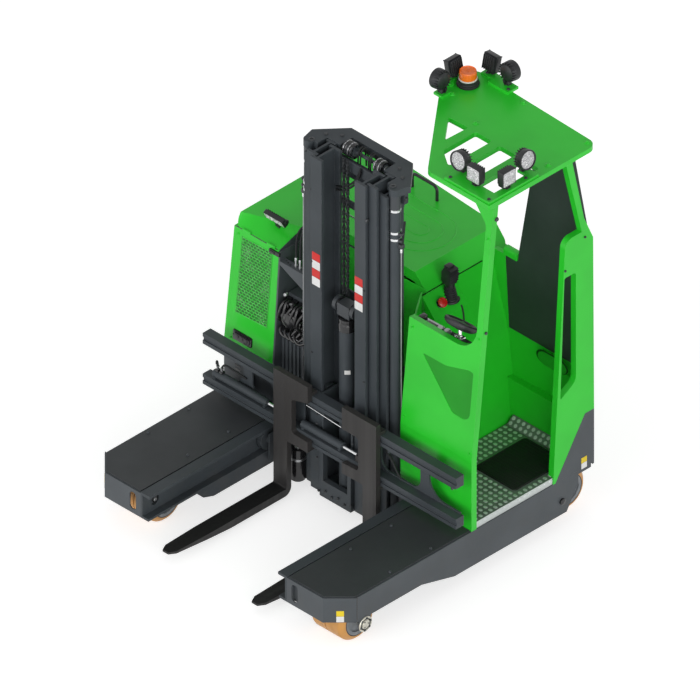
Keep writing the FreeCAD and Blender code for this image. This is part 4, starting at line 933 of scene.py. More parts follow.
def makeControls():
    whole = makeSteeringWheel()
    put(whole, makeJoystick())
    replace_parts(piece("handControls", whole, "blackPlastic"), "hand_controls")
    # button on its bezel, square to the falling top of the console
    foot = Vector(buttonSizes["foot"])
    place = along(foot, foot + Vector(buttonSizes["out"]))
    cap, neck = blanks(2)
    put(neck, turned([(0, -0.006), (0.027, -0.006), (0.027, 0.001), (0.024, 0.004), (0.017, 0.005),
                      (0.017, 0.020), (0, 0.020)], 28), place)
    put(cap, turned([(0.018, 0.014), (0.027, 0.017), (0.0295, 0.022), (0.0285, 0.029), (0.022, 0.034),
                     (0.010, 0.0355), (0, 0.0355)], 32), place)
    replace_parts(piece("stopButtonCap", cap, "redPlastic"), "stop_button")
    piece("stopButtonNeck", neck, "glossBlack")
    # bright stem and its clamp
    bright = bmesh.new()
    low, high = [Vector(end) for end in steeringSizes["stem"]]
    put(bright, turned([(0, 0), (0.024, 0), (0.024, 0.010), (0.019, 0.012), (0.019, 0.024), (0.0115, 0.026),
                        (0.0115, (high - low).length)], 20), along(low, high))
    fasten(bright, capScrew, 0.011, "top", [(x, 0.126, 1.470) for x in (0.718, 0.758)])
    put(bright, block((0.060, 0.040, 0.020), 0.004, (0.738, 0.138, 1.461)))
    piece("steeringStem", bright, "chrome")


dashSizes = {"middle": (0.5, 0.127, 1.4475), "fall": -1.75, "plate": 0.03, "knobs": (0.148, 0.325)}


def makeDash():
    plate, dark, knob = blanks(3)
    # plates on the sloping tray, which falls towards its left end
    base = at(*dashSizes["middle"]) @ Matrix.Rotation(math.radians(dashSizes["fall"]), 4, "Y")
    x, (big, small) = dashSizes["plate"], dashSizes["knobs"]
    put(plate, panel(0.150, 0.066, 0.008, 0.004, 0.0015), base @ at(x, 0, 0))
    put(dark, panel(0.076, 0.036, 0.004, 0.003, 0.001), base @ at(x, 0, 0.0035))
    for dx, dy in corners(0.066, 0.026):
        put(dark, capScrew(0.006), base @ at(x + dx, dy, 0.003))
    put(dark, block((0.034, 0.046, 0.040), 0.006), at(0.462, 0.128, 1.462))
    put(knob, turned([(0, 0), (0.026, 0), (0.026, 0.004), (0.021, 0.006), (0.019, 0.018), (0.015, 0.021),
                      (0, 0.021)], 28), base @ at(big, 0.006, 0))
    put(knob, turned([(0.012, 0), (0.012, 0.010), (0.009, 0.012), (0, 0.012)], 16),
        base @ at(small, 0, 0.002))
    piece("dashPlate", plate, "steel")
    piece("dashScreen", dark, "glossBlack")
    piece("dashKnobs", knob, "steel")
    strut = [(0.560, 0.330, 1.500), (0.585, 0.325, 1.470), (0.612, 0.300, 1.425)]
    hoses("dashStrut", [strut], 0.010, "hoseRubber")


def makeCabFixings():
    dark, green = blanks(2)
    side, roof = cabSizes["side"], cabSizes["roof"]
    # studs that hold the roof plate, painted with it
    for x, y in ((0.372, 0.634), (0.941, 0.631), (0.080, 0.740), (0.940, 0.940), (0.420, 0.960)):
        put(green, turned([(0.020, 0), (0.019, 0.003), (0.010, 0.004)], 20), facing("top", (x, y, roof)))
        put(green, bolt(0.017), facing("top", (x, y, roof + 0.0035)))
    around = (0.655, 0.150), (0.958, 0.150), (0.958, 0.440), (0.020, 0.695), (0.090, 1.006), (0.285, 0.975)
    fasten(dark, bolt, 0.016, "top", [(x, y, cabSizes["lampSheet"]) for x, y in around])
    # pivots and cap screws on the pillars and panels
    fasten(dark, bolt, 0.022, "right", [(side, 0.178, 2.372)])
    fasten(dark, capScrew, 0.014, "right", [(side, 0.716, 1.751), (side, 0.872, 1.905)])
    put(dark, turned([(0.009, 0), (0.009, 0.008), (0.007, 0.010), (0, 0.010)], 16),
        facing("right", (side, 0.092, 1.640)))
    (y, low), slope = cabSizes["foot"], cabSizes["slope"]
    spots = (0.967, 1.600), (0.967, 2.250), (0.460, 1.440), (0.455, 0.860), (0.967, 0.860)
    fasten(green, capScrew, 0.013, "front", [(x, y + slope * (z - low), z) for x, z in spots],
           math.degrees(math.atan(slope)))
    piece("cabStuds", green, "greenPaint")
    piece("cabBolts", dark, "darkSteel")


def makeCabSheets():
    # sheet from the front panel back to the console, and the skin of the well behind the mast
    whole = bmesh.new()
    start, end = [Vector((*spot, cabSizes["sheetMiddle"])) for spot in cabSizes["sheet"]]
    way, high = end - start, cabSizes["sheetHigh"]
    turn = Matrix.Translation((start + end) / 2) @ spun(math.atan2(way.y, way.x))
    put(whole, block((way.length, 0.004, high), 0.0015), turn)
    put(whole, block((way.length, 0.012, 0.010), 0.004, (0, 0, high / 2 - 0.001)), turn)
    put(whole, block((0.830, 0.0016, 0.600), 0.0005, (-0.184, 0.3892, 1.100)))
    piece("cabLeftSheet", whole, "greenPaint")
    # painted shade: a very dark oval under a smaller, lower, darker-green oval stands for the shade inside
    # the oval pocket
    #     # of the rear wall, and a darker-green sheet closes the window of the front panel where its inside
    #     falls in shade
    deep, lining = blanks(2)
    angles = [math.pi * (k + 0.5) / 16 for k in range(32)]
    for grow, fall, thick, part in ((1.0, 0.0, 0.0008, deep), (0.90, 0.006, 0.0016, lining)):
        outline = [((0.070 * math.cos(a) + math.copysign(0.055, math.cos(a))) * grow,
                    0.048 * math.sin(a) * grow - fall) for a in angles]
        put(part, slab(outline, thick), facing("front", cabSizes["pocket"]))
    # painted shade: the darker-green sheet inside the window stands for its shaded inside
    window = [(0.538, 1.300), (0.538, 1.335), (0.735, 1.335), (0.900, 1.386), (0.962, 1.386),
              (0.962, 1.038), (0.800, 1.038)]
    put(lining, slab([(x, z - 1.030) for x, z in window], 0.002), facing("front", (0, 0.0095, 1.030), 5.94))
    piece("pocketShade", deep, "shadeGreen")
    piece("halfShadeSheets", lining, "halfShadeGreen")
    # open seam under the right edge of the lid
    seam = bmesh.new()
    put(seam, block((0.004, 0.480, 0.006), 0.001, (0.2285, 0.586, 1.3855)))
    piece("lidSeamShade", seam, "shadeGreen")


makeFloorStuds()
makeControls()
makeDash()
makeCabFixings()
makeCabSheets()
print("cab ready")

# mast
mastSizes = {
    "innerFront": -0.078, "crownTop": 2.333,
    # x, y and radius of the outer lift barrels
    "barrel": (0.335, 0.035, 0.033), "barrelTop": 2.180,
    "chainX": (-0.088, -0.058), "chainY": 0.056, "chainEnds": (0.30, 2.32), "linkPitch": 0.0254,
    # how far outer and inner link plates stand from the middle of the chain
    "plates": (0.0052, 0.0018),
}


def addChain(whole, x, y, low, high):
    # leaf chain: pairs of link plates with the pins through them
    pitch = mastSizes["linkPitch"]
    for i in range(int((high - low) / pitch)):
        z = low + (i + 0.5) * pitch
        away = mastSizes["plates"][i % 2]
        for side in (-1, 1):
            put(whole, block((0.0030, 0.017, pitch * 1.34), 0.0012, (x + side * away, y, z)))
        put(whole, turned([(0, -0.010), (0.0035, -0.010), (0.0035, 0.010), (0, 0.010)], 8),
            facing("right", (x, y, z - pitch / 2)))


def makeChains():
    whole = bmesh.new()
    for x in mastSizes["chainX"]:
        addChain(whole, x, mastSizes["chainY"], *mastSizes["chainEnds"])
    piece("liftChains", whole, "darkSteel", "inner_stage")


def makeMastHoses():
    # pair of hoses that sag between the rails under the crown
    front = []
    for drop in (0.0, 0.022):
        front.append([(-0.150, 0.060, 2.086 - drop), (-0.120, 0.060, 2.096 - drop),
                      (-0.080, 0.060, 2.116 - drop), (-0.020, 0.062, 2.170 - drop),
                      (0.014, 0.064, 2.222 - drop), (0.030, 0.070, 2.290 - drop)])
    hoses("mastHoses", front, 0.013, "hoseRubber", "inner_stage")
    # cross plate of the middle stage with the pipe under it
    cross = bmesh.new()
    put(cross, block((0.480, 0.010, 0.050), 0.003, (0, 0.1165, 1.963)))
    piece("mastCross", cross, "mastPaint", "middle_stage")
    pipe = [(x, 0.115, 1.885) for x in (-0.205, -0.1, 0.1, 0.205)]
    hoses("mastCrossPipe", [pipe], 0.008, "steel", "middle_stage")
    # pipes beside the outer lift barrels, with their unions and bands
    x0, y0, r = mastSizes["barrel"]
    bands, unions, fittings = bmesh.new(), [], bmesh.new()
    pipes = []
    for sign in (1, -1):
        for z in (1.985, 2.030):
            put(bands, turned([(r + 0.0005, 0), (r + 0.0022, 0.001), (r + 0.0022, 0.015),
                               (r + 0.0005, 0.016)], 36), at(sign * x0, y0, z))
            up, out = z + 0.008, x0 + r
            put(bands, block((0.014, 0.016, 0.012), 0.002, (sign * (out + 0.004), y0 - 0.006, up)))
            put(fittings, block((0.022, 0.026, 0.018), 0.004, (sign * (out + 0.014), y0 + 0.002, up)))
            put(fittings, bolt(0.012), facing("front", (sign * (out + 0.010), y0 - 0.011, up)))
        put(fittings, block((0.030, 0.030, 0.030), 0.006, (sign * (x0 + r + 0.012), y0 + 0.004, 1.955)))
        put(bands, turned([(0.0075, 0), (0.0075, 0.020), (0.0055, 0.024)], 12),
            at(sign * (x0 + r + 0.016), y0, 1.915))
        put(bands, turned([(r - 0.004, 0), (r + 0.0015, 0.002), (r + 0.0015, 0.012), (r - 0.002, 0.016)],
                          36), at(sign * x0, y0, mastSizes["barrelTop"] - 0.002))
        x = sign * (x0 + r + 0.016)
        pipes.append([(x, y0, z) for z in (1.925, 1.70, 1.20, 0.70, 0.36)])
        unions.append([(x, y0 + 0.004, 1.955), (x + sign * 0.010, y0 + 0.004, 1.985),
                       (x + sign * 0.006, y0 + 0.010, 2.030), (x - sign * 0.004, y0 + 0.030, 2.070),
                       (x - sign * 0.012, y0 + 0.040, 2.100)])
    hoses("liftPipes", pipes, 0.008, "steel", "reach")
    hoses("liftHoses", unions, 0.012, "hoseRubber", "reach")
    piece("barrelBands", bands, "chrome", "reach")
    piece("barrelFittings", fittings, "darkSteel", "reach")


sheaveSizes = {"y": 0.1425, "z": 2.314, "rims": ((-0.150, -0.078, 0.046), (0.090, 0.152, 0.041)),
               "groove": 0.0037}


def makeSheaves():
    # hose drums in the opening of the crown, with the bright lines that run over them
    black, bright = blanks(2)
    y, z, deep = sheaveSizes["y"], sheaveSizes["z"], sheaveSizes["groove"]
    for x0, x1, r in sheaveSizes["rims"]:
        wide = x1 - x0
        profile = [(r * 0.6, 0)]
        for i in range(4):
            a = wide * i / 4
            profile += [(r, a + wide * 0.02), (r, a + wide * 0.06), (r - deep, a + wide * 0.10),
                        (r - deep, a + wide * 0.17), (r, a + wide * 0.22)]
        put(black, turned(profile + [(r, wide), (r * 0.6, wide)], 40), facing("right", (x0, y, z)))
        for i in range(2):
            x = x0 + wide * (0.135 + 0.5 * i)
            for k in range(9):
                angle = math.radians(-18 + 26 * k)
                spot = (x, y - (r - 0.001) * math.cos(angle), z + (r - 0.001) * math.sin(angle))
                turn = Matrix.Translation(spot) @ Matrix.Rotation(-angle, 4, "X")
                put(bright, block((wide * 0.10, 0.003, 0.016), 0.001), turn)
    for x in (-0.168, -0.156, 0.074, 0.158):
        put(bright, turned([(0.020, 0), (0.020, 0.006), (0.014, 0.008)], 20), facing("right", (x, y, z)))
    piece("crownDrums", black, "glossBlack", "middle_stage")
    piece("crownDrumLines", bright, "steel", "middle_stage")
    loops = []
    for x in (-0.040, -0.022, 0.044, 0.058):
        loops.append([(x, 0.120, 2.225), (x, 0.118, 2.290), (x, 0.122, 2.345), (x, 0.145, 2.368),
                      (x, 0.172, 2.350), (x, 0.182, 2.300), (x, 0.184, 2.22)])
    hoses("crownHoses", loops, 0.010, "hoseRubber", "middle_stage")


def makeMastFixings():
    dark = bmesh.new()
    top = mastSizes["crownTop"]
    for sign in (1, -1):
        put(dark, turned([(0, 0), (0.019, 0), (0.019, 0.004), (0.015, 0.006), (0.009, 0.006),
                          (0.008, 0.001), (0, 0.001)], 24), facing("top", (sign * 0.320, 0.034, top)))
        fasten(dark, bolt, 0.022, sideOf(sign), [(sign * 0.372, 0.085, 2.247)])
        fasten(dark, bolt, 0.018, "top", [(sign * 0.300, 0.128, top), (sign * 0.225, 0.180, top)])
    piece("crownBolts", dark, "darkSteel", "middle_stage")
    knob = bmesh.new()
    for sign in (1, -1):
        put(knob, turned([(0.013, 0), (0.013, 0.006), (0.009, 0.009), (0, 0.009)], 20),
            facing(sideOf(sign), (sign * 0.215, -0.068, 2.100)))
        fasten(knob, capScrew, 0.012, "front",
               [(sign * 0.205, mastSizes["innerFront"], z) for z in (0.42, 1.00, 1.62)])
    piece("railScrews", knob, "darkSteel", "inner_stage")
    # white mark and collars on the centre cylinder
    band, collar = blanks(2)
    turn = spun(math.radians(45)) @ facing("front", (0, -0.0450, 0))
    put(band, panel(0.034, 0.026, 0.003, 0.0032, 0.0005), at(0, -0.004, 0.958) @ turn)
    put(collar, turned([(0.0470, 0), (0.052, 0.004), (0.052, 0.046), (0.048, 0.052), (0.048, 0.062),
                        (0.051, 0.066), (0.051, 0.084), (0.036, 0.088)], 40), at(0, -0.004, 1.222))
    piece("cylinderMark", band, "whitePlastic", "inner_stage")
    piece("cylinderCollar", collar, "glossBlack", "inner_stage")
    head = bmesh.new()
    for x in (-0.060, 0.060):
        put(head, turned([(0.0, -0.013), (0.036, -0.013), (0.036, -0.009), (0.030, -0.006),
                          (0.030, 0.006), (0.036, 0.009), (0.036, 0.013), (0, 0.013)], 36),
            facing("right", (x, -0.004, 1.376)))
        put(head, bolt(0.018), facing(sideOf(x), (x * 1.22, -0.004, 1.376)))
    piece("headSheaves", head, "glossBlack", "free_rod")


patchSizes = {
    # red and white rows on the inner rails, from the top down; yellow over white on the corners
    "rails": (-0.173, 0.162), "top": 1.662, "cell": 0.0560, "wide": 0.062, "rows": 4,
    "noseCorner": (0.9253, -0.9867, 0.2187), "rearSide": (0.989, 0.866, 0.374),
}


def makePatches():
    # blank patches on the front faces of the inner rails and on the corners
    red, white, yellow = blanks(3)
    cell = patchSizes["cell"]
    for x in patchSizes["rails"]:
        for i in range(patchSizes["rows"]):
            part = panel(patchSizes["wide"], cell - 0.002, 0.003, 0.0012, 0.0004)
            spot = (x, mastSizes["innerFront"], patchSizes["top"] - cell * i)
            put((red, white)[i % 2], part, facing("front", spot))
    piece("railPatchRed", red, "redPatch", "inner_stage")
    piece("railPatchWhite", white, "whitePatch", "inner_stage")
    white = bmesh.new()
    for sign in (1, -1):
        (x, y, z), (side, *rest) = patchSizes["noseCorner"], patchSizes["rearSide"]
        spots = [at(sign * x, y, z) @ spun(math.radians(45 * sign)) @ facing("front", (0, 0, 0)),
                 facing(sideOf(sign), (sign * side, *rest))]
        for spot in spots:
            for half, z in ((yellow, 0.019), (white, -0.019)):
                put(half, panel(0.043, 0.037, 0.003, 0.0012, 0.0004), spot @ at(0, z, 0))
    piece("cornerPatchYellow", yellow, "yellowPatch")
    piece("cornerPatchWhite", white, "whitePatch")


drumSizes = {"place": (-0.345, -0.048, 0), "radius": 0.045, "ends": (0.060, 0.270), "ring": 0.196}


def makeReachDrum():
    # black roller on the reach frame with its bright ring
    drum, ring = blanks(2)
    spot, r = at(*drumSizes["place"]), drumSizes["radius"]
    (low, high), z = drumSizes["ends"], drumSizes["ring"]
    put(drum, turned([(0, low), (r - 0.003, low), (r, low + 0.004), (r, high - 0.004), (r - 0.003, high),
                      (0, high)], 36), spot)
    put(ring, turned([(r, z), (r + 0.0025, z + 0.002), (r + 0.0025, z + 0.016), (r, z + 0.018)], 36), spot)
    put(ring, turned([(0.018, high - 0.002), (0.018, high + 0.006), (0.014, high + 0.008),
                      (0, high + 0.008)], 24), spot)
    piece("reachDrum", drum, "glossBlack", "reach")
    piece("reachDrumRing", ring, "steel", "reach")


makeChains()
makeMastHoses()
makeSheaves()
makeMastFixings()
makePatches()
makeReachDrum()
print("mast ready")

# power pack and hood
hoodSizes = {
    "foot": (0.015, 0.655), "slope": 0.0698,
    "field": [(-0.911, 0.867), (-0.669, 0.880), (-0.659, 1.376), (-0.893, 1.3685)],
    "rows": 0.0180, "columns": 0.0260, "wire": 0.0046,
}
hoodSizes["lean"] = math.degrees(math.atan(hoodSizes["slope"]))


def hoodY(z):
    return hoodSizes["foot"][0] + hoodSizes["slope"] * (z - hoodSizes["foot"][1])


def makeGrille():
    # pressed mesh in staggered rows over the dark opening of the front panel
    back, wires = blanks(2)
    centre = Vector((-0.783, hoodY(1.12), 1.12))
    place = facing("front", centre, hoodSizes["lean"])
    stretch = math.hypot(1, hoodSizes["slope"])
    flat = [(x - centre.x, (z - centre.z) * stretch) for x, z in hoodSizes["field"]]
    put(back, slab(flat, 0.0008), place)
    wire = hoodSizes["wire"]
    (xa, ya), (xb, yb), (xc, yc), (xd, yd) = flat
    rows = int((yd - ya) / hoodSizes["rows"])
    columns = int((xb - xa) / hoodSizes["columns"])

    def spotOn(u, v):
        low, high = (xa + (xb - xa) * u, ya + (yb - ya) * u), (xd + (xc - xd) * u, yd + (yc - yd) * u)
        return Vector((low[0] + (high[0] - low[0]) * v, low[1] + (high[1] - low[1]) * v, 0.0012))

    def addWire(start, end, width):
        way = end - start
        turn = Matrix.Translation((start + end) / 2) @ spun(math.atan2(way.y, way.x))
        put(wires, block((way.length + width * 0.8, width, 0.0024), 0.0007), place @ turn)

    for i in range(rows + 1):
        addWire(spotOn(0, i / rows), spotOn(1, i / rows), wire * (1.5 if i in (0, rows) else 1.0))
    for i in range(rows):
        shift = 0.5 * (i % 2)
        for k in range(columns + 1):
            u = min((k + shift) / columns, 1.0)
            addWire(spotOn(u, i / rows), spotOn(u, (i + 1) / rows), wire)
    for u in (0, 1):
        addWire(spotOn(u, 0), spotOn(u, 1), wire * 1.5)
    piece("grilleBack", back, "grilleDark")
    piece("grilleMesh", wires, "grilleWire")


def makeHoodFront():
    # recessed lamp, latch, seam and screws of the front panel
    dark, glass, green = blanks(3)
    spot = facing("front", (-0.8465, hoodY(0.7235) + 0.002, 0.7235), hoodSizes["lean"])
    put(dark, panel(0.146, 0.064, 0.009, 0.008, 0.003), spot)
    put(glass, panel(0.120, 0.040, 0.006, 0.012, 0.003), spot)
    for x in (-0.066, 0.062):
        put(dark, capScrew(0.009), spot @ at(x, 0, 0.007))
    for i in range(3):
        put(glass, turned([(0.012, 0), (0.011, 0.003), (0, 0.004)], 18),
            spot @ at((i - 1) * 0.034, 0, 0.0115))
    put(dark, block((0.336, 0.003, 0.005), 0.001, (-0.785, hoodY(1.4135) + 0.0005, 1.4145)))
    latch = facing("front", (-0.637, hoodY(1.392), 1.390), hoodSizes["lean"])
    put(dark, panel(0.082, 0.026, 0.006, 0.012, 0.003), latch)
    put(dark, panel(0.040, 0.014, 0.004, 0.018, 0.003), latch @ at(-0.014, 0, 0))
    piece("hoodLatch", dark, "glossBlack")
    piece("hoodLampLens", glass, "smokedGlass")
    spots = (-0.935, 0.690), (-0.925, 1.375), (-0.628, 0.690)
    fasten(green, capScrew, 0.012, "front", [(x, hoodY(z), z) for x, z in spots], hoodSizes["lean"])
    piece("hoodScrews", green, "greenPaint")


lidSizes = {"top": 1.480, "rib": 0.010, "rise": 0.0035, "bend": (-0.130, 0.700), "end": -0.760}


def addRib(whole, path, width, rise, z):
    # pressed bead along a path on the lid, with sloping flanks
    for start, end in zip(path, path[1:]):
        a, b = Vector((*start, z)), Vector((*end, z))
        way = b - a
        side = Vector((-way.y, way.x, 0)).normalized() * width / 2
        up = Vector((0, 0, rise))
        verts = [whole.verts.new(point) for end in (a, b)
                 for point in (end - side, end - side * 0.4 + up, end + side * 0.4 + up, end + side)]
        for k in range(3):
            whole.faces.new((verts[k], verts[k + 4], verts[k + 5], verts[k + 1]))


def makeLidLines():
    # long U-shaped beads pressed into the lid
    whole = bmesh.new()
    z = lidSizes["top"] - 0.0008
    for inset in (0.0, 0.075, 0.150):
        r = 0.200 - inset
        (cx, cy), left = lidSizes["bend"], lidSizes["end"]
        path = [(left, cy - r)]
        path += [(cx + r * math.sin(math.radians(a)), cy - r * math.cos(math.radians(a)))
                 for a in range(0, 181, 10)]
        path += [(left, cy + r)]
        addRib(whole, path, lidSizes["rib"], lidSizes["rise"], z)
    piece("lidBeads", whole, "greenPaint", "lid")


def makeLidSide():
    # dark wall between the lid and the mast well
    whole = bmesh.new()
    outline = [(0.075, 1.404), (0.075, 1.418), (0.258, 1.4785), (0.388, 1.4785), (0.388, 1.404)]
    put(whole, slab(outline, 0.003, 0.001), facing("right", (-0.6112, 0, 0)))
    piece("lidSeal", whole, "mastPaint", "lid")


packSizes = {
    # valves over the tank: x of the first, step between them and their count; middle of the filter
    "valves": (-0.564, 0.046, 4), "filter": (-0.500, 0.080, 1.010),
    # louvres of the base: middle of the first, step and count
    "louvres": (-0.8825, 0.015, 0.522), "louvreStep": 0.027, "louvreCount": 3,
    "hoseX": (-0.492, -0.459), "hoseY": 0.085,
}


def makePackDetails():
    bright, black = blanks(2)
    # louvres of the charcoal base
    x, y, z = packSizes["louvres"]
    for i in range(packSizes["louvreCount"]):
        put(black, panel(0.044, 0.013, 0.006, 0.0008),
            facing("front", (x, y, z - packSizes["louvreStep"] * i)))
    lining = bmesh.new()
    put(lining, block((0.180, 0.004, 0.160), 0.001, (-0.690, 0.046, 0.460)))
    piece("stepLining", lining, "charcoalPaint")
    # valve stack over the tank
    first, step, count = packSizes["valves"]
    for x in (first + step * i for i in range(count)):
        put(black, block((0.040, 0.050, 0.086), 0.005, (x, 0.098, 0.925)))
        put(black, block((0.036, 0.040, 0.060), 0.005, (x, 0.100, 1.070)))
        put(bright, turned([(0.0, 0), (0.010, 0), (0.010, 0.012), (0.006, 0.014), (0.006, 0.022)], 6),
            facing("front", (x, 0.074, 0.945)))
        put(black, plug(0.013, 0.046, 0.010, 0.050, 18),
            facing("front", (x + 0.006, 0.080, 1.020)))
        put(bright, bolt(0.014), facing("front", (x - 0.010, 0.080, 1.084)))
    put(bright, block((0.064, 0.012, 0.010), 0.003, (-0.470, 0.066, 0.880)))
    put(bright, turned([(0.012, 0), (0.012, 0.016), (0.008, 0.020), (0, 0.020)], 14),
        facing("front", (-0.560, 0.080, 1.140)))
    fasten(bright, capScrew, 0.009, "right", [(-0.586, 0.084, 0.905 + 0.034 * i) for i in range(4)])
    piece("valveStack", black, "glossBlack")
    piece("valveFittings", bright, "steel")
    # short hoses that loop between the valves and the tank
    lines = []
    for i in range(6):
        x, swing = -0.572 + 0.030 * i, 0.012 * math.sin(2.1 * i)
        lines.append([(x, 0.060, 0.960 + swing), (x - 0.004, 0.034, 0.975),
                      (x + swing, 0.024, 1.020 + swing), (x + 0.012, 0.030, 1.070),
                      (x + 0.016 - swing, 0.056, 1.110 + swing), (x + 0.012, 0.084, 1.096)])
    for i in range(4):
        x = -0.570 + 0.036 * i
        lines.append([(x, 0.060, 0.930), (x, 0.028, 0.925), (x + 0.030, 0.020, 0.896),
                      (x + 0.070, 0.024, 0.892), (x + 0.098, 0.050, 0.925), (x + 0.100, 0.074, 0.955)])
    hoses("valveHoses", lines, 0.017, "glossBlack")
    # round filter beside the valves
    pot = bmesh.new()
    put(pot, turned([(0, 0), (0.052, 0), (0.054, 0.006), (0.054, 0.044), (0.046, 0.050), (0.046, 0.056),
                     (0.034, 0.060), (0, 0.060)], 32), facing("front", packSizes["filter"]))
    piece("filterPot", pot, "glossBlack")
    # hoses that rise from the shelf to the mast
    rising, ends = [], bmesh.new()
    y = packSizes["hoseY"]
    for i, x in enumerate(packSizes["hoseX"]):
        rising.append([(x, y, 1.405), (x, y, 1.480), (x + 0.002, y, 1.560 + 0.02 * i),
                       (x + 0.020, 0.100, 1.625 + 0.02 * i), (x + 0.048, 0.150, 1.640 + 0.02 * i),
                       (x + 0.060, 0.205, 1.600), (x + 0.062, 0.235, 1.500), (x + 0.062, 0.240, 1.330)])
        put(ends, turned([(0.008, 0), (0.010, 0.002), (0.010, 0.016), (0.0075, 0.018), (0.0075, 0.044),
                          (0.0095, 0.046), (0.0095, 0.060), (0.0065, 0.066)], 12), at(x, y, 1.352))
    hoses("mastFeedHoses", rising, 0.012, "hoseRubber")
    piece("hoseEnds", ends, "steel")


makeGrille()
makeHoodFront()
makeLidLines()
makeLidSide()
makePackDetails()
print("hood ready")

# carriage and fork spreader
carriageSizes = {"front": -0.101, "unions": (-0.905, -0.872), "unionY": -0.117}


def makeCarriageParts():
    dark, bright, black = blanks(3)
    # screws at the foot and on the plates of the carriage frame
    front = carriageSizes["front"]
    fasten(dark, capScrew, 0.016, "front",
           [(-0.125 + 0.050 * i, front, 0.112 + 0.018 * (i % 2)) for i in range(6)])
    fasten(dark, capScrew, 0.014, "front",
           [(x, front - 0.0002, z) for x in (-0.140, 0.140) for z in (0.330, 0.385, 0.560, 0.620, 0.672)])
    # unions and a thick elbow at the left end of the spreading cylinder
    y = carriageSizes["unionY"]
    for x in carriageSizes["unions"]:
        put(bright, turned([(0, 0), (0.011, 0), (0.011, 0.014), (0.008, 0.016), (0.008, 0.030),
                            (0.010, 0.032), (0.010, 0.040), (0, 0.040)], 12),
            facing("top", (x, y, 0.538)))
        put(black, block((0.024, 0.026, 0.016), 0.004, (x, y, 0.548)))
    piece("carriageScrews", dark, "darkSteel", "carriage")
    piece("spreadUnions", bright, "steel", "carriage")
    piece("spreadElbows", black, "glossBlack", "carriage")
    lines = [
        [(-0.905, -0.117, 0.578), (-0.912, -0.112, 0.604), (-0.930, -0.104, 0.600), (-0.932, -0.100, 0.566)],
        [(-0.872, -0.117, 0.578), (-0.868, -0.112, 0.600), (-0.845, -0.102, 0.600), (-0.800, -0.098, 0.585),
         (-0.700, -0.098, 0.580)],
        [(0.420, -0.112, 0.640), (0.450, -0.112, 0.618), (0.480, -0.112, 0.580), (0.500, -0.112, 0.545),
         (0.530, -0.112, 0.522)],
        [(0.405, -0.106, 0.648), (0.440, -0.104, 0.628), (0.474, -0.104, 0.590), (0.488, -0.104, 0.550),
         (0.500, -0.104, 0.520)],
    ]
    hoses("spreadHoses", lines, 0.012, "hoseRubber", "carriage")
    # chrome link under the upper bar, between the forks
    link = [(-0.205, -0.120, 0.660), (-0.110, -0.120, 0.655), (-0.020, -0.120, 0.650), (0.070, -0.120, 0.645)]
    hoses("spreadLink", [link], 0.009, "chrome", "carriage")


makeCarriageParts()
print("carriage ready")

# arms and wheels
armSizes = {
    # hub caps: side of the truck, y of the wheel's axle
    "hubs": ((1, -0.854), (-1, -0.800)), "hubHigh": 0.135, "side": 0.989, "flange": 0.049,
    # x and z of the slot in the right nose
    "slot": (0.636, 0.2625), "deck": 0.350, "deckScrews": ((0.950, 0.640), (-0.30, -0.62)),
}


def makeHubs():
    bright, dark = blanks(2)
    r = armSizes["flange"]
    for sign, y in armSizes["hubs"]:
        spot = facing(sideOf(sign), (sign * armSizes["side"], y, armSizes["hubHigh"]))
        put(bright, turned([(0.036, 0), (r, 0), (r, 0.004), (r - 0.002, 0.006), (0.030, 0.006)], 36), spot)
        put(bright, turned([(0, 0.005), (0.026, 0.005), (0.025, 0.0085), (0.014, 0.009), (0.013, 0.007),
                            (0, 0.007)], 28), spot)
        for place in circle(0.038, 6, 0.005, 0.3):
            put(dark, bolt(0.012, 0.005), spot @ place)
        for place in circle(0.020, 3, 0.0078):
            put(dark, turned([(0.005, 0), (0.0045, 0.002), (0, 0.002)], 10), spot @ place)
    piece("hubFlanges", bright, "zinc")
    piece("hubBolts", dark, "darkSteel")


def makeArmParts():
    dark, black, bright = blanks(3)
    x, z = armSizes["slot"]
    # dark sheet and stay behind the slot of the right nose
    put(dark, block((0.110, 0.004, 0.140), 0.001, (x, -1.030, z)))
    put(dark, block((0.012, 0.020, 0.140), 0.001, (x - 0.030, -1.040, z)))
    # seam of the nose plate and the plug of each side
    for sign in (1, -1):
        put(black, block((0.0012, 0.006, 0.160), 0.0, (sign * 0.9890, -0.9175, 0.270)))
        put(black, plug(0.020, 0.010, 0.014, 0.014, 24), facing(sideOf(sign), (sign * 0.989, 0.693, 0.196)))
        # stop bolt on the web of each rail, its ring and its bright end
        spot = facing(sideOf(-sign), (sign * 0.5605, -0.955, 0.2575))
        put(black, plug(0.021, 0.002, 0.014, 0.003, 24), spot)
        put(bright, turned([(0.012, 0.0025), (0.011, 0.0036), (0.006, 0.004), (0, 0.004)], 18), spot)
        away, down = armSizes["deckScrews"]
        fasten(dark, capScrew, 0.016, "top", [(sign * x, y, armSizes["deck"]) for y in down for x in away])
    piece("armPlates", dark, "charcoalPaint")
    piece("armSeams", black, "glossBlack")
    piece("railStops", bright, "steel")


makeHubs()
makeArmParts()
print("arms ready")

# rear and left sides
rearSizes = {
    # plane of the back, and planes of the left side low down and higher up
    "back": 1.1119, "left": -0.9825, "upperLeft": -0.952,
    # count of the vents, ends of the door's seam across and upwards, x and z of the latch
    "ribs": 9, "doorX": (-0.905, 0.085), "doorZ": (0.700, 1.360), "latch": (0.020, 1.050),
}


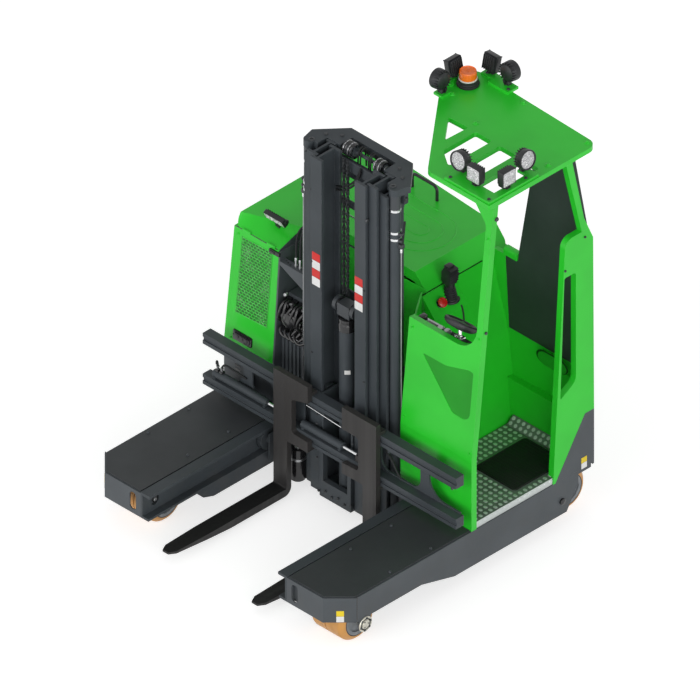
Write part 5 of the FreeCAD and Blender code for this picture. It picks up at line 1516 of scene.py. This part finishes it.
def makeRearDoor():
    # vents, hinges, latch and seam of the rear cover
    green, dark, black = blanks(3)
    y = rearSizes["back"]
    for i in range(rearSizes["ribs"]):
        z = 0.820 + 0.042 * i
        put(black, panel(0.360, 0.020, 0.009, 0.0008), facing("back", (-0.420, y, z)))
        rib = facing("back", (-0.420, y, z + 0.009), 30)
        put(green, panel(0.366, 0.016, 0.006, 0.0015, 0.0005), rib)
    for z in (0.780, 1.300):
        put(dark, block((0.030, 0.012, 0.080), 0.004, (-0.870, y + 0.005, z)))
        put(dark, disc(0.008, 0.090, 14), at(-0.890, y + 0.006, z - 0.045))
        fasten(dark, capScrew, 0.010, "back", [(-0.866, y + 0.011, z + dz) for dz in (0.024, -0.024)])
    latch = facing("back", (rearSizes["latch"][0], y, rearSizes["latch"][1]))
    put(black, panel(0.060, 0.100, 0.010, 0.006, 0.002), latch)
    put(black, panel(0.030, 0.080, 0.008, 0.010, 0.003), latch)
    # seam round the door
    for x in rearSizes["doorX"]:
        put(black, block((0.004, 0.0012, 0.660), 0.0, (x, y, 1.030)))
    for z in rearSizes["doorZ"]:
        put(black, block((0.990, 0.0012, 0.004), 0.0, (-0.410, y, z)))
    piece("rearVentRibs", green, "greenPaint")
    piece("rearHinges", dark, "darkSteel")
    piece("rearSeams", black, "glossBlack")


def makeTail():
    # tail plate with its tow pin, and the screws of the base and of the left side
    dark, black = blanks(2)
    y = rearSizes["back"]
    fasten(dark, capScrew, 0.020, "back",
           [(x, y, z) for x in (-0.860, -0.620, 0.120, 0.330) for z in (0.610, 0.380)])
    put(black, panel(0.160, 0.090, 0.016, 0.004, 0.002), facing("back", (-0.250, y, 0.480)))
    put(dark, plug(0.026, 0.006, 0.018, 0.008, 24), facing("back", (-0.250, y + 0.004, 0.480)))
    for x, z in ((rearSizes["left"], 0.780), (rearSizes["upperLeft"], 1.250)):
        fasten(dark, capScrew, 0.014, "left", [(x, down, z) for down in (0.160, 0.560, 0.960)])
    piece("tailScrews", dark, "darkSteel")
    piece("tailPlate", black, "glossBlack")


makeRearDoor()
makeTail()
print("rear ready")


print("truck finished")
